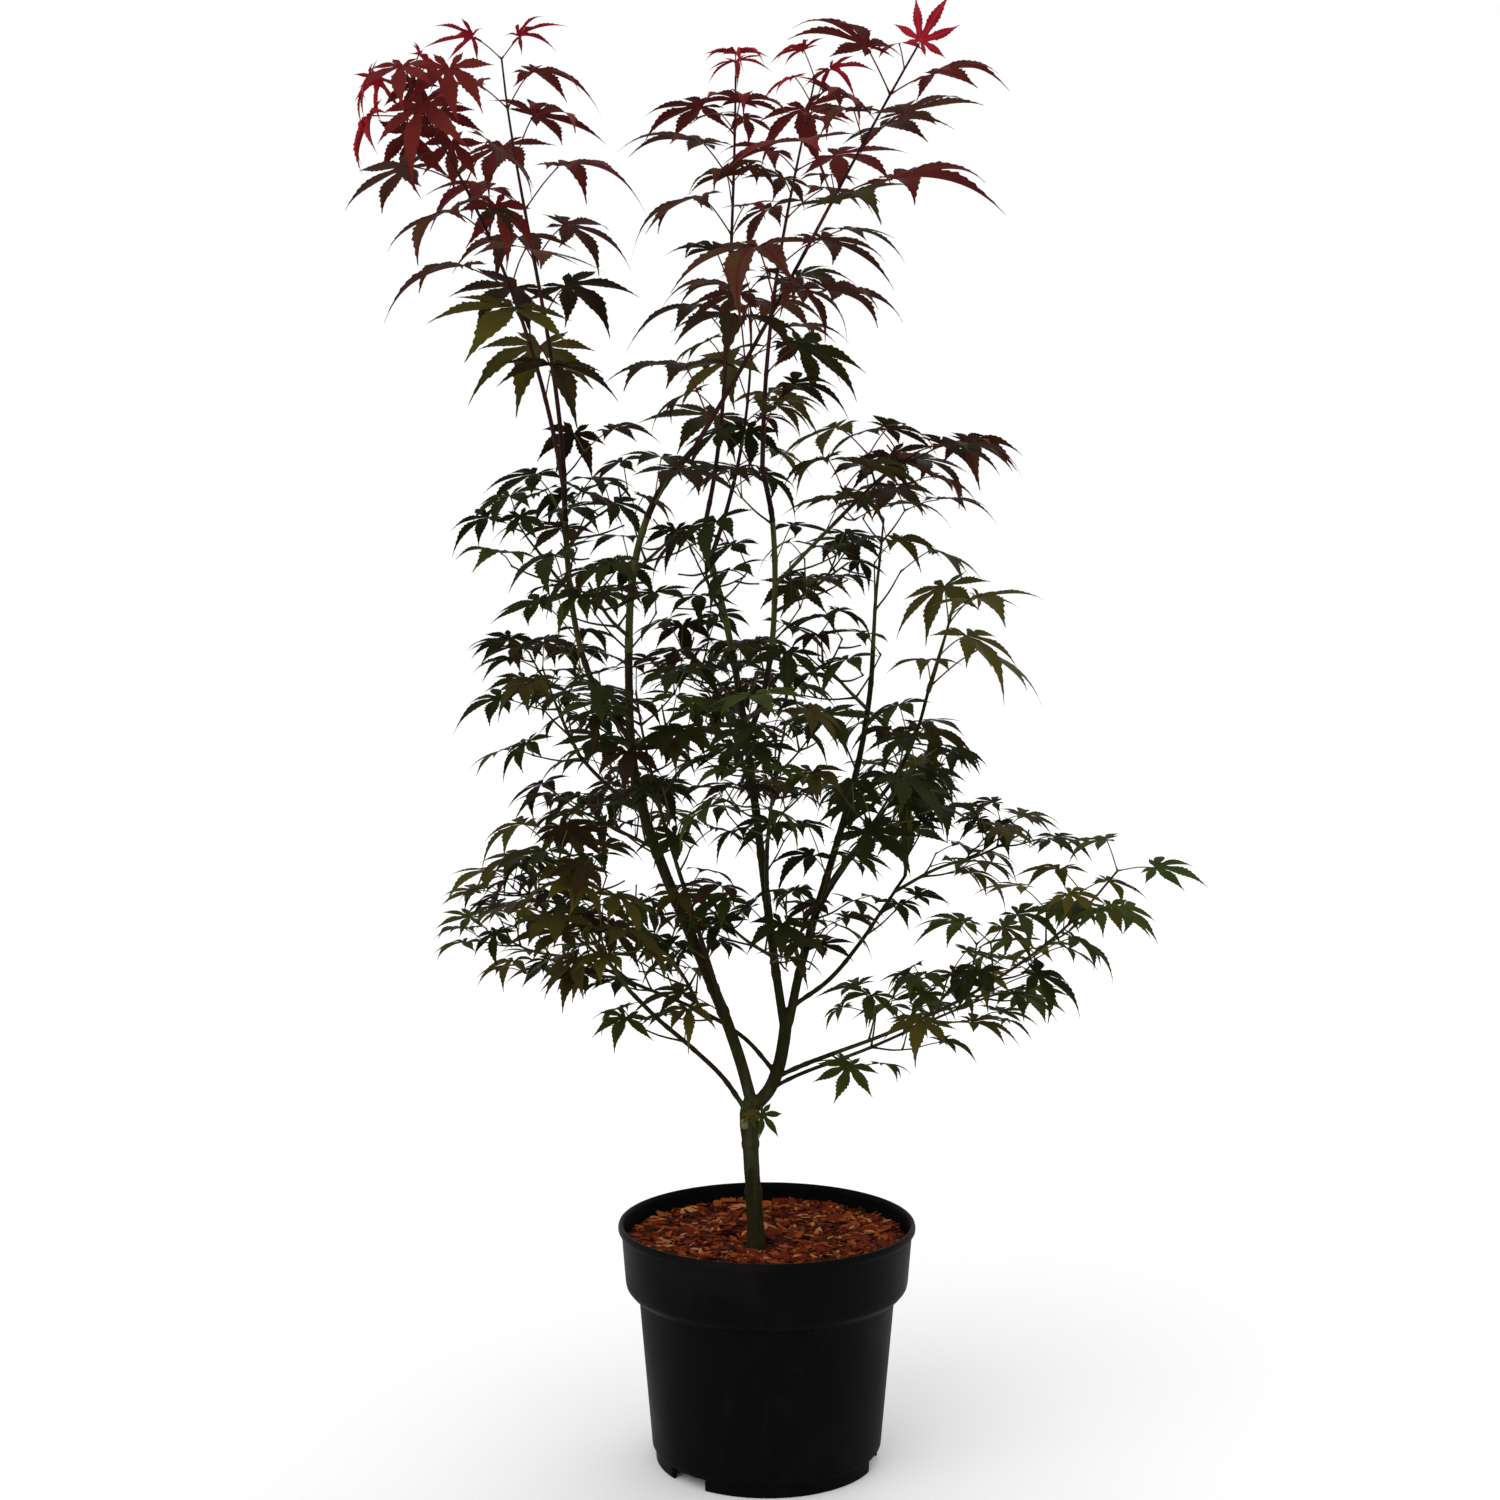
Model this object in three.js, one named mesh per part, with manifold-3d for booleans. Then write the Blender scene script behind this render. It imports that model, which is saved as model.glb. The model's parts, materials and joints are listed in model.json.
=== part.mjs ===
// Potted Japanese maple: a young grafted plant with many slim stems in a ten-litre nursery pot.
// Millimetres, +Z up, origin on the ground under the middle of the pot.
import * as THREE from "three";
import { mergeVertices } from "three/addons/utils/BufferGeometryUtils.js";
import Module from "manifold-3d";

const wasm = await Module();
wasm.setup();
const { Manifold, Mesh: SolidMesh } = wasm;

// ---- Driving dimensions -------------------------------------------------------------------

const clearance = 0.3;

const pot = {
  sides: 26,
  height: 225,
  footRadius: 104.5,
  footHeight: 13,
  padRadius: 30,
  wallFootRadius: 108,
  wallTopRadius: 120.5,
  wallTop: 157,
  collarFootRadius: 133,
  collarFoot: 171,
  collarTopRadius: 136.7,
  lipRadius: 140,
  lipHeight: 8,
  wall: 2.2,
  notches: [-44, 76, 196],
  notchWidth: 41,
};

const fill = {
  compostTop: 200,
  barkTop: 209.5,
  barkRadius: 132.4,
  dipDepth: 5,
  dipRadius: 20,
  unevenness: 1.6,
};

const trunk = {
  foot: [-10, -22, fill.compostTop + clearance],
  length: 141,
  lean: [1, 9, 1],
  heading: [120, 112],
  sides: 14,
  // Share of the length and radius there: root flare, taper, graft swelling, shoulder of the fork.
  profile: [
    [0, 10.6],
    [0.07, 9.2],
    [0.16, 8.3],
    [0.45, 7.4],
    [0.7, 7.5],
    [0.84, 9.4],
    [0.93, 9.2],
    [1, 6.6],
  ],
};

// Each bough leaves its parent at a distance along it. Lean is the angle from upright at its
// foot, middle and tip; heading is the compass angle from +X at its foot and tip; aside shifts
// the foot towards its own side of a fork. Radii are at the foot and the tip.
const boughs = {
  left_stem: {
    from: "trunk", at: 134, length: 322, lean: [12, 23, 14], heading: [-168, -174],
    radii: [5.6, 4.7], aside: -4,
  },
  left_stem_top: {
    from: "left_stem", at: 322, length: 325, lean: [14, 9, 48], heading: [-134, 4], radii: [4.2, 2.7],
  },
  right_stem: {
    from: "trunk", at: 134, length: 92, lean: [56, 19, 10], heading: [10, 46],
    radii: [6.3, 5.9], aside: 3,
  },
  centre_stem: {
    from: "right_stem", at: 90, length: 465, lean: [10, 8, 18], heading: [156, 162],
    radii: [4.3, 2.7], aside: 3,
  },
  rear_right_stem: {
    from: "right_stem", at: 90, length: 375, lean: [10, 20, 1], heading: [20, 50],
    radii: [4.5, 2.1], aside: 3,
  },
  middle_stem: {
    from: "centre_stem", at: 265, length: 260, lean: [24, 8, 18], heading: [8, -156], radii: [2.9, 2.4],
  },
  left_shoot_stem: {
    from: "left_stem_top", at: 45, length: 265, lean: [45, 12, 9], heading: [180, 100], radii: [2.9, 2.5],
  },
  front_left_stem: {
    from: "left_stem", at: 85, length: 165, lean: [22, 25, 28], heading: [-132, -125], radii: [2.4, 2.0],
  },
  low_left_front: {
    from: "trunk", at: 128, length: 190, lean: [28, 50, 44], heading: [-150, -136], radii: [2.5, 1.9],
  },
  low_left_rear: {
    from: "right_stem", at: 40, length: 210, lean: [36, 72, 67], heading: [154, 152], radii: [2.2, 1.4],
  },
  left_fan: {
    from: "left_stem", at: 300, length: 95, lean: [69, 59, 54], heading: [148, 133], radii: [2.1, 1.7],
  },
  right_fan: {
    from: "rear_right_stem", at: 190, length: 180, lean: [64, 39, 39], heading: [-26, -80],
    radii: [2.1, 1.5],
  },
  right_arch: {
    from: "rear_right_stem", at: 14, length: 196, lean: [73, 51, 59], heading: [34, 56], radii: [2.3, 1.5],
  },
  low_right_front: {
    from: "right_stem", at: 35, length: 66, lean: [61, 65, 67], heading: [-16, -21], radii: [2.3, 2.1],
  },
  low_right_rear: {
    from: "right_stem", at: 22, length: 66, lean: [62, 73, 78], heading: [24, 27], radii: [2.0, 1.8],
  },
  inner_right: {
    from: "middle_stem", at: 150, length: 100, lean: [53, 57, 63], heading: [-44, -59], radii: [1.9, 1.7],
  },
  front_bough: {
    from: "centre_stem", at: 110, length: 125, lean: [48, 57, 62], heading: [-92, -89], radii: [2.2, 1.9],
  },
  rear_bough: {
    from: "centre_stem", at: 190, length: 120, lean: [68, 71, 72], heading: [96, 96], radii: [2.1, 1.8],
  },
  rear_left: {
    from: "left_stem", at: 170, length: 115, lean: [58, 65, 67], heading: [110, 104], radii: [2.1, 1.8],
  },
  rear_right: {
    from: "rear_right_stem", at: 112, length: 125, lean: [59, 68, 71], heading: [68, 66], radii: [2.1, 1.8],
  },
  front_right: {
    from: "rear_right_stem", at: 82, length: 105, lean: [40, 50, 57], heading: [-72, -70], radii: [2.0, 1.7],
  },
};

// Each mass of foliage grows from one stem, set like a bough. A shoot carries pairs of leaves
// all along it, and nod is how far they droop or lift more towards its tip; a spray carries
// pairs of side twigs with leaves at their ends, and single is one leaf near its foot, by
// distance, turn and droop. Blade is the length of a leaf's middle lobe, tone its colour.
const masses = {
  tall_left_shoot: {
    from: "left_shoot_stem", at: 243, length: 380, lean: [10, 23, 36], heading: [-144, -156],
    kind: "shoot", pairs: 7, blade: 88, tone: "crimson", nod: 50, seed: 11,
  },
  tall_left_rear_shoot: {
    from: "left_shoot_stem", at: 265, length: 395, lean: [5, 15, 8], heading: [136, 138],
    kind: "shoot", pairs: 7, blade: 88, tone: "crimson", nod: -25, seed: 12,
  },
  top_centre_shoot: {
    from: "centre_stem", at: 465, length: 415, lean: [15, 5, 12], heading: [-24, -88],
    kind: "shoot", pairs: 8, blade: 83, tone: "crimson", nod: -25, seed: 13,
  },
  top_rear_shoot: {
    from: "centre_stem", at: 440, length: 325, lean: [36, 32, 30], heading: [60, 96],
    kind: "shoot", pairs: 6, blade: 78, tone: "maroon", nod: -10, seed: 14,
  },
  top_back_shoot: {
    from: "middle_stem", at: 260, length: 400, lean: [10, 21, 17], heading: [84, 50],
    kind: "shoot", pairs: 7, blade: 83, tone: "crimson", nod: -25, seed: 15,
  },
  top_right_shoot: {
    from: "left_stem_top", at: 325, length: 395, lean: [33, 30, 33], heading: [-12, -22],
    kind: "shoot", pairs: 7, blade: 91, tone: "crimson", nod: -45, seed: 16,
  },
  right_crest: {
    from: "rear_right_stem", at: 375, length: 115, lean: [2, 14, 6], heading: [68, 56],
    kind: "spray", pairs: 2, twig: 54, blade: 48, tone: "bronze", seed: 21,
  },
  inner_right_tip: {
    from: "inner_right", at: 100, length: 135, lean: [63, 63, 74], heading: [-59, -52],
    kind: "spray", pairs: 3, twig: 46, blade: 55, tone: "maroon", seed: 22,
  },
  right_fan_tip: {
    from: "right_fan", at: 180, length: 75, lean: [20, 21, 21], heading: [-38, -52],
    kind: "shoot", pairs: 2, blade: 78, tone: "bronze", nod: 0, seed: 23,
  },
  low_right_front_tip: {
    from: "low_right_front", at: 66, length: 324, lean: [68, 57, 36], heading: [-21, -24],
    kind: "spray", pairs: 7, twig: 48, blade: 47, tone: "green", seed: 24,
  },
  low_right_rear_tip: {
    from: "low_right_rear", at: 66, length: 224, lean: [79, 72, 80], heading: [27, 20],
    kind: "spray", pairs: 5, twig: 48, blade: 45, tone: "green", single: [9, 0, 74], seed: 25,
  },
  right_arch_rise: {
    from: "right_arch", at: 196, length: 85, lean: [40, 10, 40], heading: [70, 110],
    kind: "spray", pairs: 2, twig: 48, blade: 41, tone: "bronze", seed: 26,
  },
  right_arch_reach: {
    from: "right_arch", at: 172, length: 150, lean: [52, 76, 57], heading: [16, 26],
    kind: "spray", pairs: 3, twig: 48, blade: 41, tone: "bronze", seed: 27,
  },
  low_left_front_tip: {
    from: "low_left_front", at: 190, length: 155, lean: [42, 36, 31], heading: [-136, -120],
    kind: "spray", pairs: 3, twig: 52, blade: 44, tone: "bronze", seed: 28,
  },
  low_left_rear_tip: {
    from: "low_left_rear", at: 210, length: 115, lean: [66, 84, 60], heading: [166, 150],
    kind: "spray", pairs: 2, twig: 46, blade: 43, tone: "green", seed: 29,
  },
  low_left_rear_rise: {
    from: "low_left_rear", at: 180, length: 150, lean: [46, 50, 40], heading: [-160, -150],
    kind: "spray", pairs: 3, twig: 50, blade: 44, tone: "bronze", seed: 30,
  },
  left_fan_tip: {
    from: "left_fan", at: 95, length: 112, lean: [46, 44, 44], heading: [126, 116],
    kind: "spray", pairs: 3, twig: 46, blade: 46, tone: "dark", seed: 31,
  },
  left_side_low: {
    from: "left_shoot_stem", at: 150, length: 72, lean: [58, 54, 60], heading: [-128, -108],
    kind: "spray", pairs: 2, twig: 44, blade: 46, tone: "dark", seed: 32,
  },
  left_side_high: {
    from: "left_shoot_stem", at: 190, length: 90, lean: [56, 62, 70], heading: [70, 56],
    kind: "spray", pairs: 2, twig: 46, blade: 44, tone: "dark", seed: 33,
  },
  upper_left_front: {
    from: "left_stem_top", at: 140, length: 125, lean: [74, 66, 70], heading: [-112, -96],
    kind: "spray", pairs: 3, twig: 50, blade: 46, tone: "dark", seed: 34,
  },
  upper_left_back: {
    from: "left_stem_top", at: 200, length: 120, lean: [68, 70, 74], heading: [66, 76],
    kind: "spray", pairs: 3, twig: 50, blade: 46, tone: "dark", seed: 35,
  },
  left_side: {
    from: "left_stem", at: 262, length: 125, lean: [72, 76, 80], heading: [140, 126],
    kind: "spray", pairs: 3, twig: 50, blade: 46, tone: "dark", seed: 36,
  },
  front_left_tip: {
    from: "front_left_stem", at: 165, length: 200, lean: [28, 32, 50], heading: [-125, -92],
    kind: "spray", pairs: 5, twig: 54, blade: 46, tone: "dark", seed: 37,
  },
  front_tip: {
    from: "front_bough", at: 125, length: 190, lean: [62, 51, 49], heading: [-89, -80],
    kind: "spray", pairs: 4, twig: 54, blade: 46, tone: "dark", seed: 38,
  },
  front_right_tip: {
    from: "front_right", at: 105, length: 155, lean: [57, 52, 52], heading: [-70, -66],
    kind: "spray", pairs: 3, twig: 54, blade: 46, tone: "dark", seed: 39,
  },
  rear_tip: {
    from: "rear_bough", at: 120, length: 185, lean: [72, 60, 39], heading: [96, 112],
    kind: "spray", pairs: 4, twig: 56, blade: 46, tone: "dark", seed: 40,
  },
  rear_left_tip: {
    from: "rear_left", at: 115, length: 160, lean: [67, 60, 60], heading: [104, 112],
    kind: "spray", pairs: 3, twig: 54, blade: 46, tone: "dark", seed: 41,
  },
  rear_right_tip: {
    from: "rear_right", at: 125, length: 165, lean: [71, 64, 60], heading: [66, 60],
    kind: "spray", pairs: 3, twig: 54, blade: 46, tone: "dark", seed: 42,
  },
  centre_front: {
    from: "centre_stem", at: 385, length: 135, lean: [72, 68, 76], heading: [-106, -88],
    kind: "spray", pairs: 3, twig: 52, blade: 48, tone: "dark", seed: 43,
  },
  centre_back: {
    from: "centre_stem", at: 285, length: 145, lean: [64, 68, 74], heading: [108, 112],
    kind: "spray", pairs: 3, twig: 52, blade: 46, tone: "dark", seed: 44,
  },
  middle_side: {
    from: "middle_stem", at: 125, length: 125, lean: [70, 66, 72], heading: [42, 60],
    kind: "spray", pairs: 3, twig: 50, blade: 48, tone: "dark", seed: 45,
  },
  right_side: {
    from: "rear_right_stem", at: 305, length: 130, lean: [66, 66, 74], heading: [-120, -110],
    kind: "spray", pairs: 3, twig: 50, blade: 46, tone: "dark", seed: 46,
  },
  inner_low: {
    from: "centre_stem", at: 60, length: 145, lean: [68, 60, 70], heading: [-130, -112],
    kind: "spray", pairs: 3, twig: 50, blade: 45, tone: "dark", seed: 48,
  },
  low_left_inner: {
    from: "low_left_rear", at: 95, length: 125, lean: [30, 42, 50], heading: [140, 170],
    kind: "spray", pairs: 3, twig: 50, blade: 46, tone: "green", seed: 49,
  },
  centre_low: {
    from: "rear_right_stem", at: 50, length: 120, lean: [55, 61, 67], heading: [-96, -100],
    kind: "spray", pairs: 3, twig: 48, blade: 44, tone: "dark", seed: 47,
  },
};

// The rule that every mass follows.
const rule = {
  stemRadii: [1.9, 0.9],
  shootRadii: [2.3, 0.9],
  twigRadii: [1.1, 0.7],
  sprayBare: 0.22,
  shootBare: 0.07,
  shootPetiole: 0.68,
  sprayPetiole: 0.7,
  twigSpread: 52,
  petioleSpread: 58,
  lift: 0.3,
  droop: 20,
  petioleRadius: 0.75,
  bladeThickness: 0.045,
  spaceMargin: 2.4,
  limbMargin: 0.1,
  crowding: 0.28,
};

// A leaf's lobes: angle from the middle lobe, length as a share of the blade, and how far the
// tip hangs below the leaf's middle. Between two lobes the edge comes in to the sinus.
const lobes = [
  [-88, 0.6, 0.14],
  [-43, 0.88, 0.18],
  [0, 1, 0.2],
  [43, 0.88, 0.18],
  [88, 0.6, 0.14],
];
const sinusShare = 0.3;

// A leaf that doesn't fit is tried again turned about its stem and made smaller.
const attempts = [
  [0, 1],
  [28, 0.92],
  [-28, 0.92],
  [60, 0.82],
  [-60, 0.82],
  [0, 0.7],
];

const finishes = {
  pot: ["#0f0f10", 0.55],
  compost: ["#2a1a12", 0.98],
  bark_mulch: ["#6b2f1b", 0.95],
  oldBark: ["#2b2c1a", 0.85],
  youngBark: ["#2c2414", 0.75],
  crimson: ["#7d1626", 0.7],
  maroon: ["#4c1720", 0.72],
  bronze: ["#4b3a1a", 0.75],
  green: ["#26401a", 0.75],
  dark: ["#1f2614", 0.78],
};

// ---- Small helpers ------------------------------------------------------------------------

const up = new THREE.Vector3(0, 0, 1);
const radians = THREE.MathUtils.degToRad;
const mix = (a, b, share) => a + (b - a) * share;
const along = (point, direction, distance) => point.clone().addScaledVector(direction, distance);

function seededRandom(seed) {
  let state = seed >>> 0;
  return () => {
    state = (state + 0x6d2b79f5) >>> 0;
    let value = Math.imul(state ^ (state >>> 15), state | 1);
    value = (value + Math.imul(value ^ (value >>> 7), value | 61)) ^ value;
    return ((value ^ (value >>> 14)) >>> 0) / 4294967296;
  };
}

function solidOf(positions, triangles) {
  const mesh = new SolidMesh({
    numProp: 3,
    vertProperties: Float32Array.from(positions.flatMap((point) => point.toArray())),
    triVerts: Uint32Array.from(triangles.flat()),
  });
  return new Manifold(mesh);
}

function solidOfGeometry(geometry) {
  const plain = geometry.clone();
  plain.deleteAttribute("normal");
  plain.deleteAttribute("uv");
  const welded = mergeVertices(plain, 1e-5);
  const mesh = new SolidMesh({
    numProp: 3,
    vertProperties: Float32Array.from(welded.attributes.position.array),
    triVerts: Uint32Array.from(welded.index.array),
  });
  return new Manifold(mesh);
}

function turned(profile, sides) {
  const points = profile.map(([radius, height]) => new THREE.Vector2(radius, height));
  const geometry = new THREE.LatheGeometry(points, sides);
  geometry.rotateX(Math.PI / 2);
  return solidOfGeometry(geometry);
}

// The largest connected piece of a solid.
function mainPiece(solid) {
  const pieces = solid.decompose();
  return pieces.reduce((best, piece) => (piece.volume() > best.volume() ? piece : best));
}

function nodeOf(name, solid, finish) {
  const mesh = solid.getMesh();
  const corners = new Float32Array(mesh.numVert * 3);
  for (let vertex = 0; vertex < mesh.numVert; vertex += 1) {
    for (let axis = 0; axis < 3; axis += 1) {
      corners[vertex * 3 + axis] = mesh.vertProperties[vertex * mesh.numProp + axis];
    }
  }
  const geometry = new THREE.BufferGeometry();
  geometry.setAttribute("position", new THREE.BufferAttribute(corners, 3));
  geometry.setIndex(new THREE.BufferAttribute(Uint32Array.from(mesh.triVerts), 1));
  const faceted = geometry.toNonIndexed();
  faceted.computeVertexNormals();
  const [color, roughness] = finishes[finish];
  const material = new THREE.MeshStandardMaterial({ color, roughness, metalness: 0, flatShading: true });
  const node = new THREE.Mesh(faceted, material);
  node.name = name;
  return node;
}

// ---- Limbs --------------------------------------------------------------------------------

// The centre line of a limb: lean and heading change smoothly from its foot to its tip.
function centreLine(foot, spec, steps) {
  const points = [foot.clone()];
  const tangents = [];
  for (let step = 0; step < steps; step += 1) {
    const share = (step + 0.5) / steps;
    const leanNow =
      spec.lean[0] * (1 - share) * (1 - 2 * share) +
      spec.lean[1] * 4 * share * (1 - share) +
      spec.lean[2] * share * (2 * share - 1);
    const lean = radians(leanNow);
    const heading = radians(mix(spec.heading[0], spec.heading[1], share));
    const direction = new THREE.Vector3(
      Math.sin(lean) * Math.cos(heading),
      Math.sin(lean) * Math.sin(heading),
      Math.cos(lean),
    );
    tangents.push(direction);
    points.push(along(points[step], direction, spec.length / steps));
  }
  return { points, tangents, length: spec.length };
}

function pointAlong(line, distance) {
  const steps = line.points.length - 1;
  const place = THREE.MathUtils.clamp((distance / line.length) * steps, 0, steps - 1e-6);
  const step = Math.floor(place);
  return line.points[step].clone().lerp(line.points[step + 1], place - step);
}

function directionAlong(line, distance) {
  const steps = line.tangents.length;
  const step = THREE.MathUtils.clamp(Math.floor((distance / line.length) * steps), 0, steps - 1);
  return line.tangents[step];
}

// Rings square to the line, carried along it without twist.
function ringsAlong(points, radii, sides, firstNormal) {
  const last = points.length - 1;
  const rings = [];
  let side = null;
  points.forEach((point, index) => {
    const before = points[Math.max(index - 1, 0)];
    const after = points[Math.min(index + 1, last)];
    let normal = after.clone().sub(before).normalize();
    if (index === 0 && firstNormal) {
      normal = firstNormal.clone();
    }
    const guide = side || (Math.abs(normal.z) > 0.9 ? new THREE.Vector3(1, 0, 0) : up);
    side = guide.clone().addScaledVector(normal, -guide.dot(normal)).normalize();
    const across = normal.clone().cross(side);
    const ring = [];
    for (let corner = 0; corner < sides; corner += 1) {
      const angle = (2 * Math.PI * corner) / sides;
      const offset = side
        .clone()
        .multiplyScalar(Math.cos(angle) * radii[index])
        .addScaledVector(across, Math.sin(angle) * radii[index]);
      ring.push(point.clone().add(offset));
    }
    rings.push(ring);
  });
  return rings;
}

// A closed tube with flat ends through the rings.
function tube(points, radii, sides, firstNormal = null) {
  const rings = ringsAlong(points, radii, sides, firstNormal);
  const triangles = [];
  for (let ring = 0; ring + 1 < rings.length; ring += 1) {
    for (let corner = 0; corner < sides; corner += 1) {
      const next = (corner + 1) % sides;
      const a = ring * sides + corner;
      const b = ring * sides + next;
      triangles.push([a, b, b + sides], [a, b + sides, a + sides]);
    }
  }
  const top = (rings.length - 1) * sides;
  for (let corner = 1; corner + 1 < sides; corner += 1) {
    triangles.push([0, corner + 1, corner]);
    triangles.push([top, top + corner, top + corner + 1]);
  }
  return solidOf(rings.flat(), triangles);
}

// The same limb grown by the clearance all round, to cut its neighbours back with.
function sleeve(points, radii, sides, firstNormal = null) {
  const grow = (clearance + 0.03) / Math.cos(Math.PI / sides);
  const last = points.length - 1;
  const longer = points.map((point) => point.clone());
  const start = points[1].clone().sub(points[0]).normalize();
  const end = points[last].clone().sub(points[last - 1]).normalize();
  longer[0].addScaledVector(start, -clearance);
  longer[last].addScaledVector(end, clearance + 0.02);
  const wider = radii.map((radius) => radius + grow);
  return tube(longer, wider, sides, firstNormal);
}

const limbs = {};

function addLimb(name, line, radii, sides, firstNormal) {
  const cutter = sleeve(line.points, radii, sides, firstNormal);
  let solid = tube(line.points, radii, sides, firstNormal);
  for (const other of Object.values(limbs)) {
    solid = solid.subtract(other.cutter);
  }
  limbs[name] = { line, radii, cutter, solid: mainPiece(solid) };
}

function trunkLimb() {
  const line = centreLine(new THREE.Vector3(...trunk.foot), trunk, 24);
  const points = trunk.profile.map(([share]) => pointAlong(line, share * trunk.length));
  const radii = trunk.profile.map(([, radius]) => radius);
  limbs.trunk = {
    line,
    radii,
    cutter: sleeve(points, radii, trunk.sides, up),
    solid: tube(points, radii, trunk.sides, up),
  };
}

function footOf(spec) {
  const parent = limbs[spec.from].line;
  const foot = pointAlong(parent, spec.at);
  if (spec.aside) {
    const heading = radians(spec.heading[0]);
    foot.x += spec.aside * Math.cos(heading);
    foot.y += spec.aside * Math.sin(heading);
  }
  return foot;
}

function boughLimb(name, spec) {
  const steps = Math.max(4, Math.round(spec.length / 45));
  const line = centreLine(footOf(spec), spec, steps);
  const radii = line.points.map((_, index) => mix(spec.radii[0], spec.radii[1], index / steps));
  const atEnd = spec.at >= limbs[spec.from].line.length - 1;
  const square = atEnd ? directionAlong(limbs[spec.from].line, spec.at) : null;
  addLimb(name, line, radii, spec.radii[0] > 4 ? 7 : 5, square);
}

// ---- Space that each mass may fill --------------------------------------------------------

const stems = {};

function massStem(name, spec) {
  const steps = Math.max(3, Math.round(spec.length / 45));
  stems[name] = centreLine(footOf(spec), spec, steps);
}

function distanceToLine(point, points) {
  let nearest = Infinity;
  for (let index = 0; index + 1 < points.length; index += 1) {
    const start = points[index];
    const run = points[index + 1].clone().sub(start);
    const share = THREE.MathUtils.clamp(point.clone().sub(start).dot(run) / run.lengthSq(), 0, 1);
    nearest = Math.min(nearest, point.distanceTo(along(start, run, share)));
  }
  return nearest;
}

// True where every point lies nearer to its own stem than to any other and clear of the limbs.
function fits(name, samples, limbGap) {
  const own = stems[name].points;
  return samples.every((point) => {
    const reach = distanceToLine(point, own) + rule.spaceMargin;
    const inSpace = Object.entries(stems).every(
      ([other, line]) => other === name || distanceToLine(point, line.points) > reach,
    );
    const clear = Object.values(limbs).every(
      (limb) => distanceToLine(point, limb.line.points) > Math.max(...limb.radii) + limbGap,
    );
    return inSpace && clear;
  });
}

// ---- Twigs and leaves ---------------------------------------------------------------------

// The two directions square to a stem: one level, one leaning up.
function squareTo(direction) {
  let level = direction.clone().cross(up);
  if (level.length() < 0.2) {
    level = new THREE.Vector3(0, -1, 0).addScaledVector(direction, direction.y);
  }
  level.normalize();
  return [level, level.clone().cross(direction)];
}

function sideways(direction, turn, spread, lift) {
  const [level, rising] = squareTo(direction);
  const out = level
    .clone()
    .multiplyScalar(Math.cos(radians(turn)))
    .addScaledVector(rising, Math.sin(radians(turn)));
  return direction
    .clone()
    .multiplyScalar(Math.cos(radians(spread)))
    .addScaledVector(out, Math.sin(radians(spread)))
    .addScaledVector(up, lift)
    .normalize();
}

// The frame of a leaf: forward along its middle lobe, left and up from its face.
function leafFrame(root, heading, size, droop, roll) {
  const flat = new THREE.Vector3(heading.x, heading.y, 0);
  flat.normalize();
  const forward = flat.clone().multiplyScalar(Math.cos(radians(droop)));
  forward.addScaledVector(up, -Math.sin(radians(droop)));
  const face = flat.clone().multiplyScalar(Math.sin(radians(droop)));
  face.addScaledVector(up, Math.cos(radians(droop)));
  face.applyAxisAngle(forward, radians(roll));
  return { root, forward, left: face.clone().cross(forward), face, size };
}

function onLeaf(frame, x, y, z) {
  return frame.root
    .clone()
    .addScaledVector(frame.forward, x * frame.size)
    .addScaledVector(frame.left, y * frame.size)
    .addScaledVector(frame.face, z * frame.size);
}

function lobePoint(frame, [angle, reach, hang], share) {
  const x = Math.cos(radians(angle)) * reach * share;
  const y = Math.sin(radians(angle)) * reach * share;
  return onLeaf(frame, x, y, -hang * share * share);
}

function leafSamples(frame) {
  const samples = [frame.root];
  for (const lobe of lobes) {
    for (let step = 1; step <= 5; step += 1) {
      samples.push(lobePoint(frame, lobe, step / 5));
    }
  }
  return samples;
}

// True where a leaf or twig keeps clear of what its own mass already holds.
function clearOf(mass, samples, size) {
  return mass.strands.every(
    ([line, width]) => samples.every((point) => distanceToLine(point, line) > width + 0.08 * size),
  );
}

// Plans one leaf, or returns null where none fits.
function planLeaf(mass, from, direction, turn, scale, droop) {
  const { name, spec, random } = mass;
  const jitter = [random() - 0.5, random() - 0.5, random() - 0.5, random() - 0.5];
  const petioleShare = spec.kind === "shoot" ? rule.shootPetiole : rule.sprayPetiole;
  for (const [swing, shrink] of attempts) {
    const size = spec.blade * scale * shrink * (1 + 0.24 * jitter[0]);
    const spread = rule.petioleSpread + 20 * jitter[1];
    const out = sideways(direction, turn + swing, spread, rule.lift);
    if (out.z < 0.12) {
      out.z = 0.12;
      out.normalize();
    }
    const petiole = size * petioleShare * (1 + 0.3 * jitter[2]);
    const root = along(from, out, petiole);
    const frame = leafFrame(root, out, size, droop + 46 * jitter[3], 50 * jitter[2]);
    const samples = leafSamples(frame);
    const crowded = mass.leaves.some(
      (other) => other.root.distanceTo(root) < rule.crowding * (other.size + size),
    );
    const stalk = [along(from, out, petiole * 0.4), along(from, out, petiole * 0.7)];
    const free = !crowded && clearOf(mass, samples, size) && clearOf(mass, stalk, 0);
    if (free && fits(name, [...samples, ...stalk], rule.limbMargin * size)) {
      mass.leaves.push(frame);
      mass.strands.push([[along(from, out, petiole * 0.3), root], 1.2]);
      for (const lobe of lobes) {
        mass.strands.push([[root, lobePoint(frame, lobe, 0.6), lobePoint(frame, lobe, 1)], 0.09 * size]);
      }
      return { out, frame };
    }
  }
  return null;
}

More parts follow.
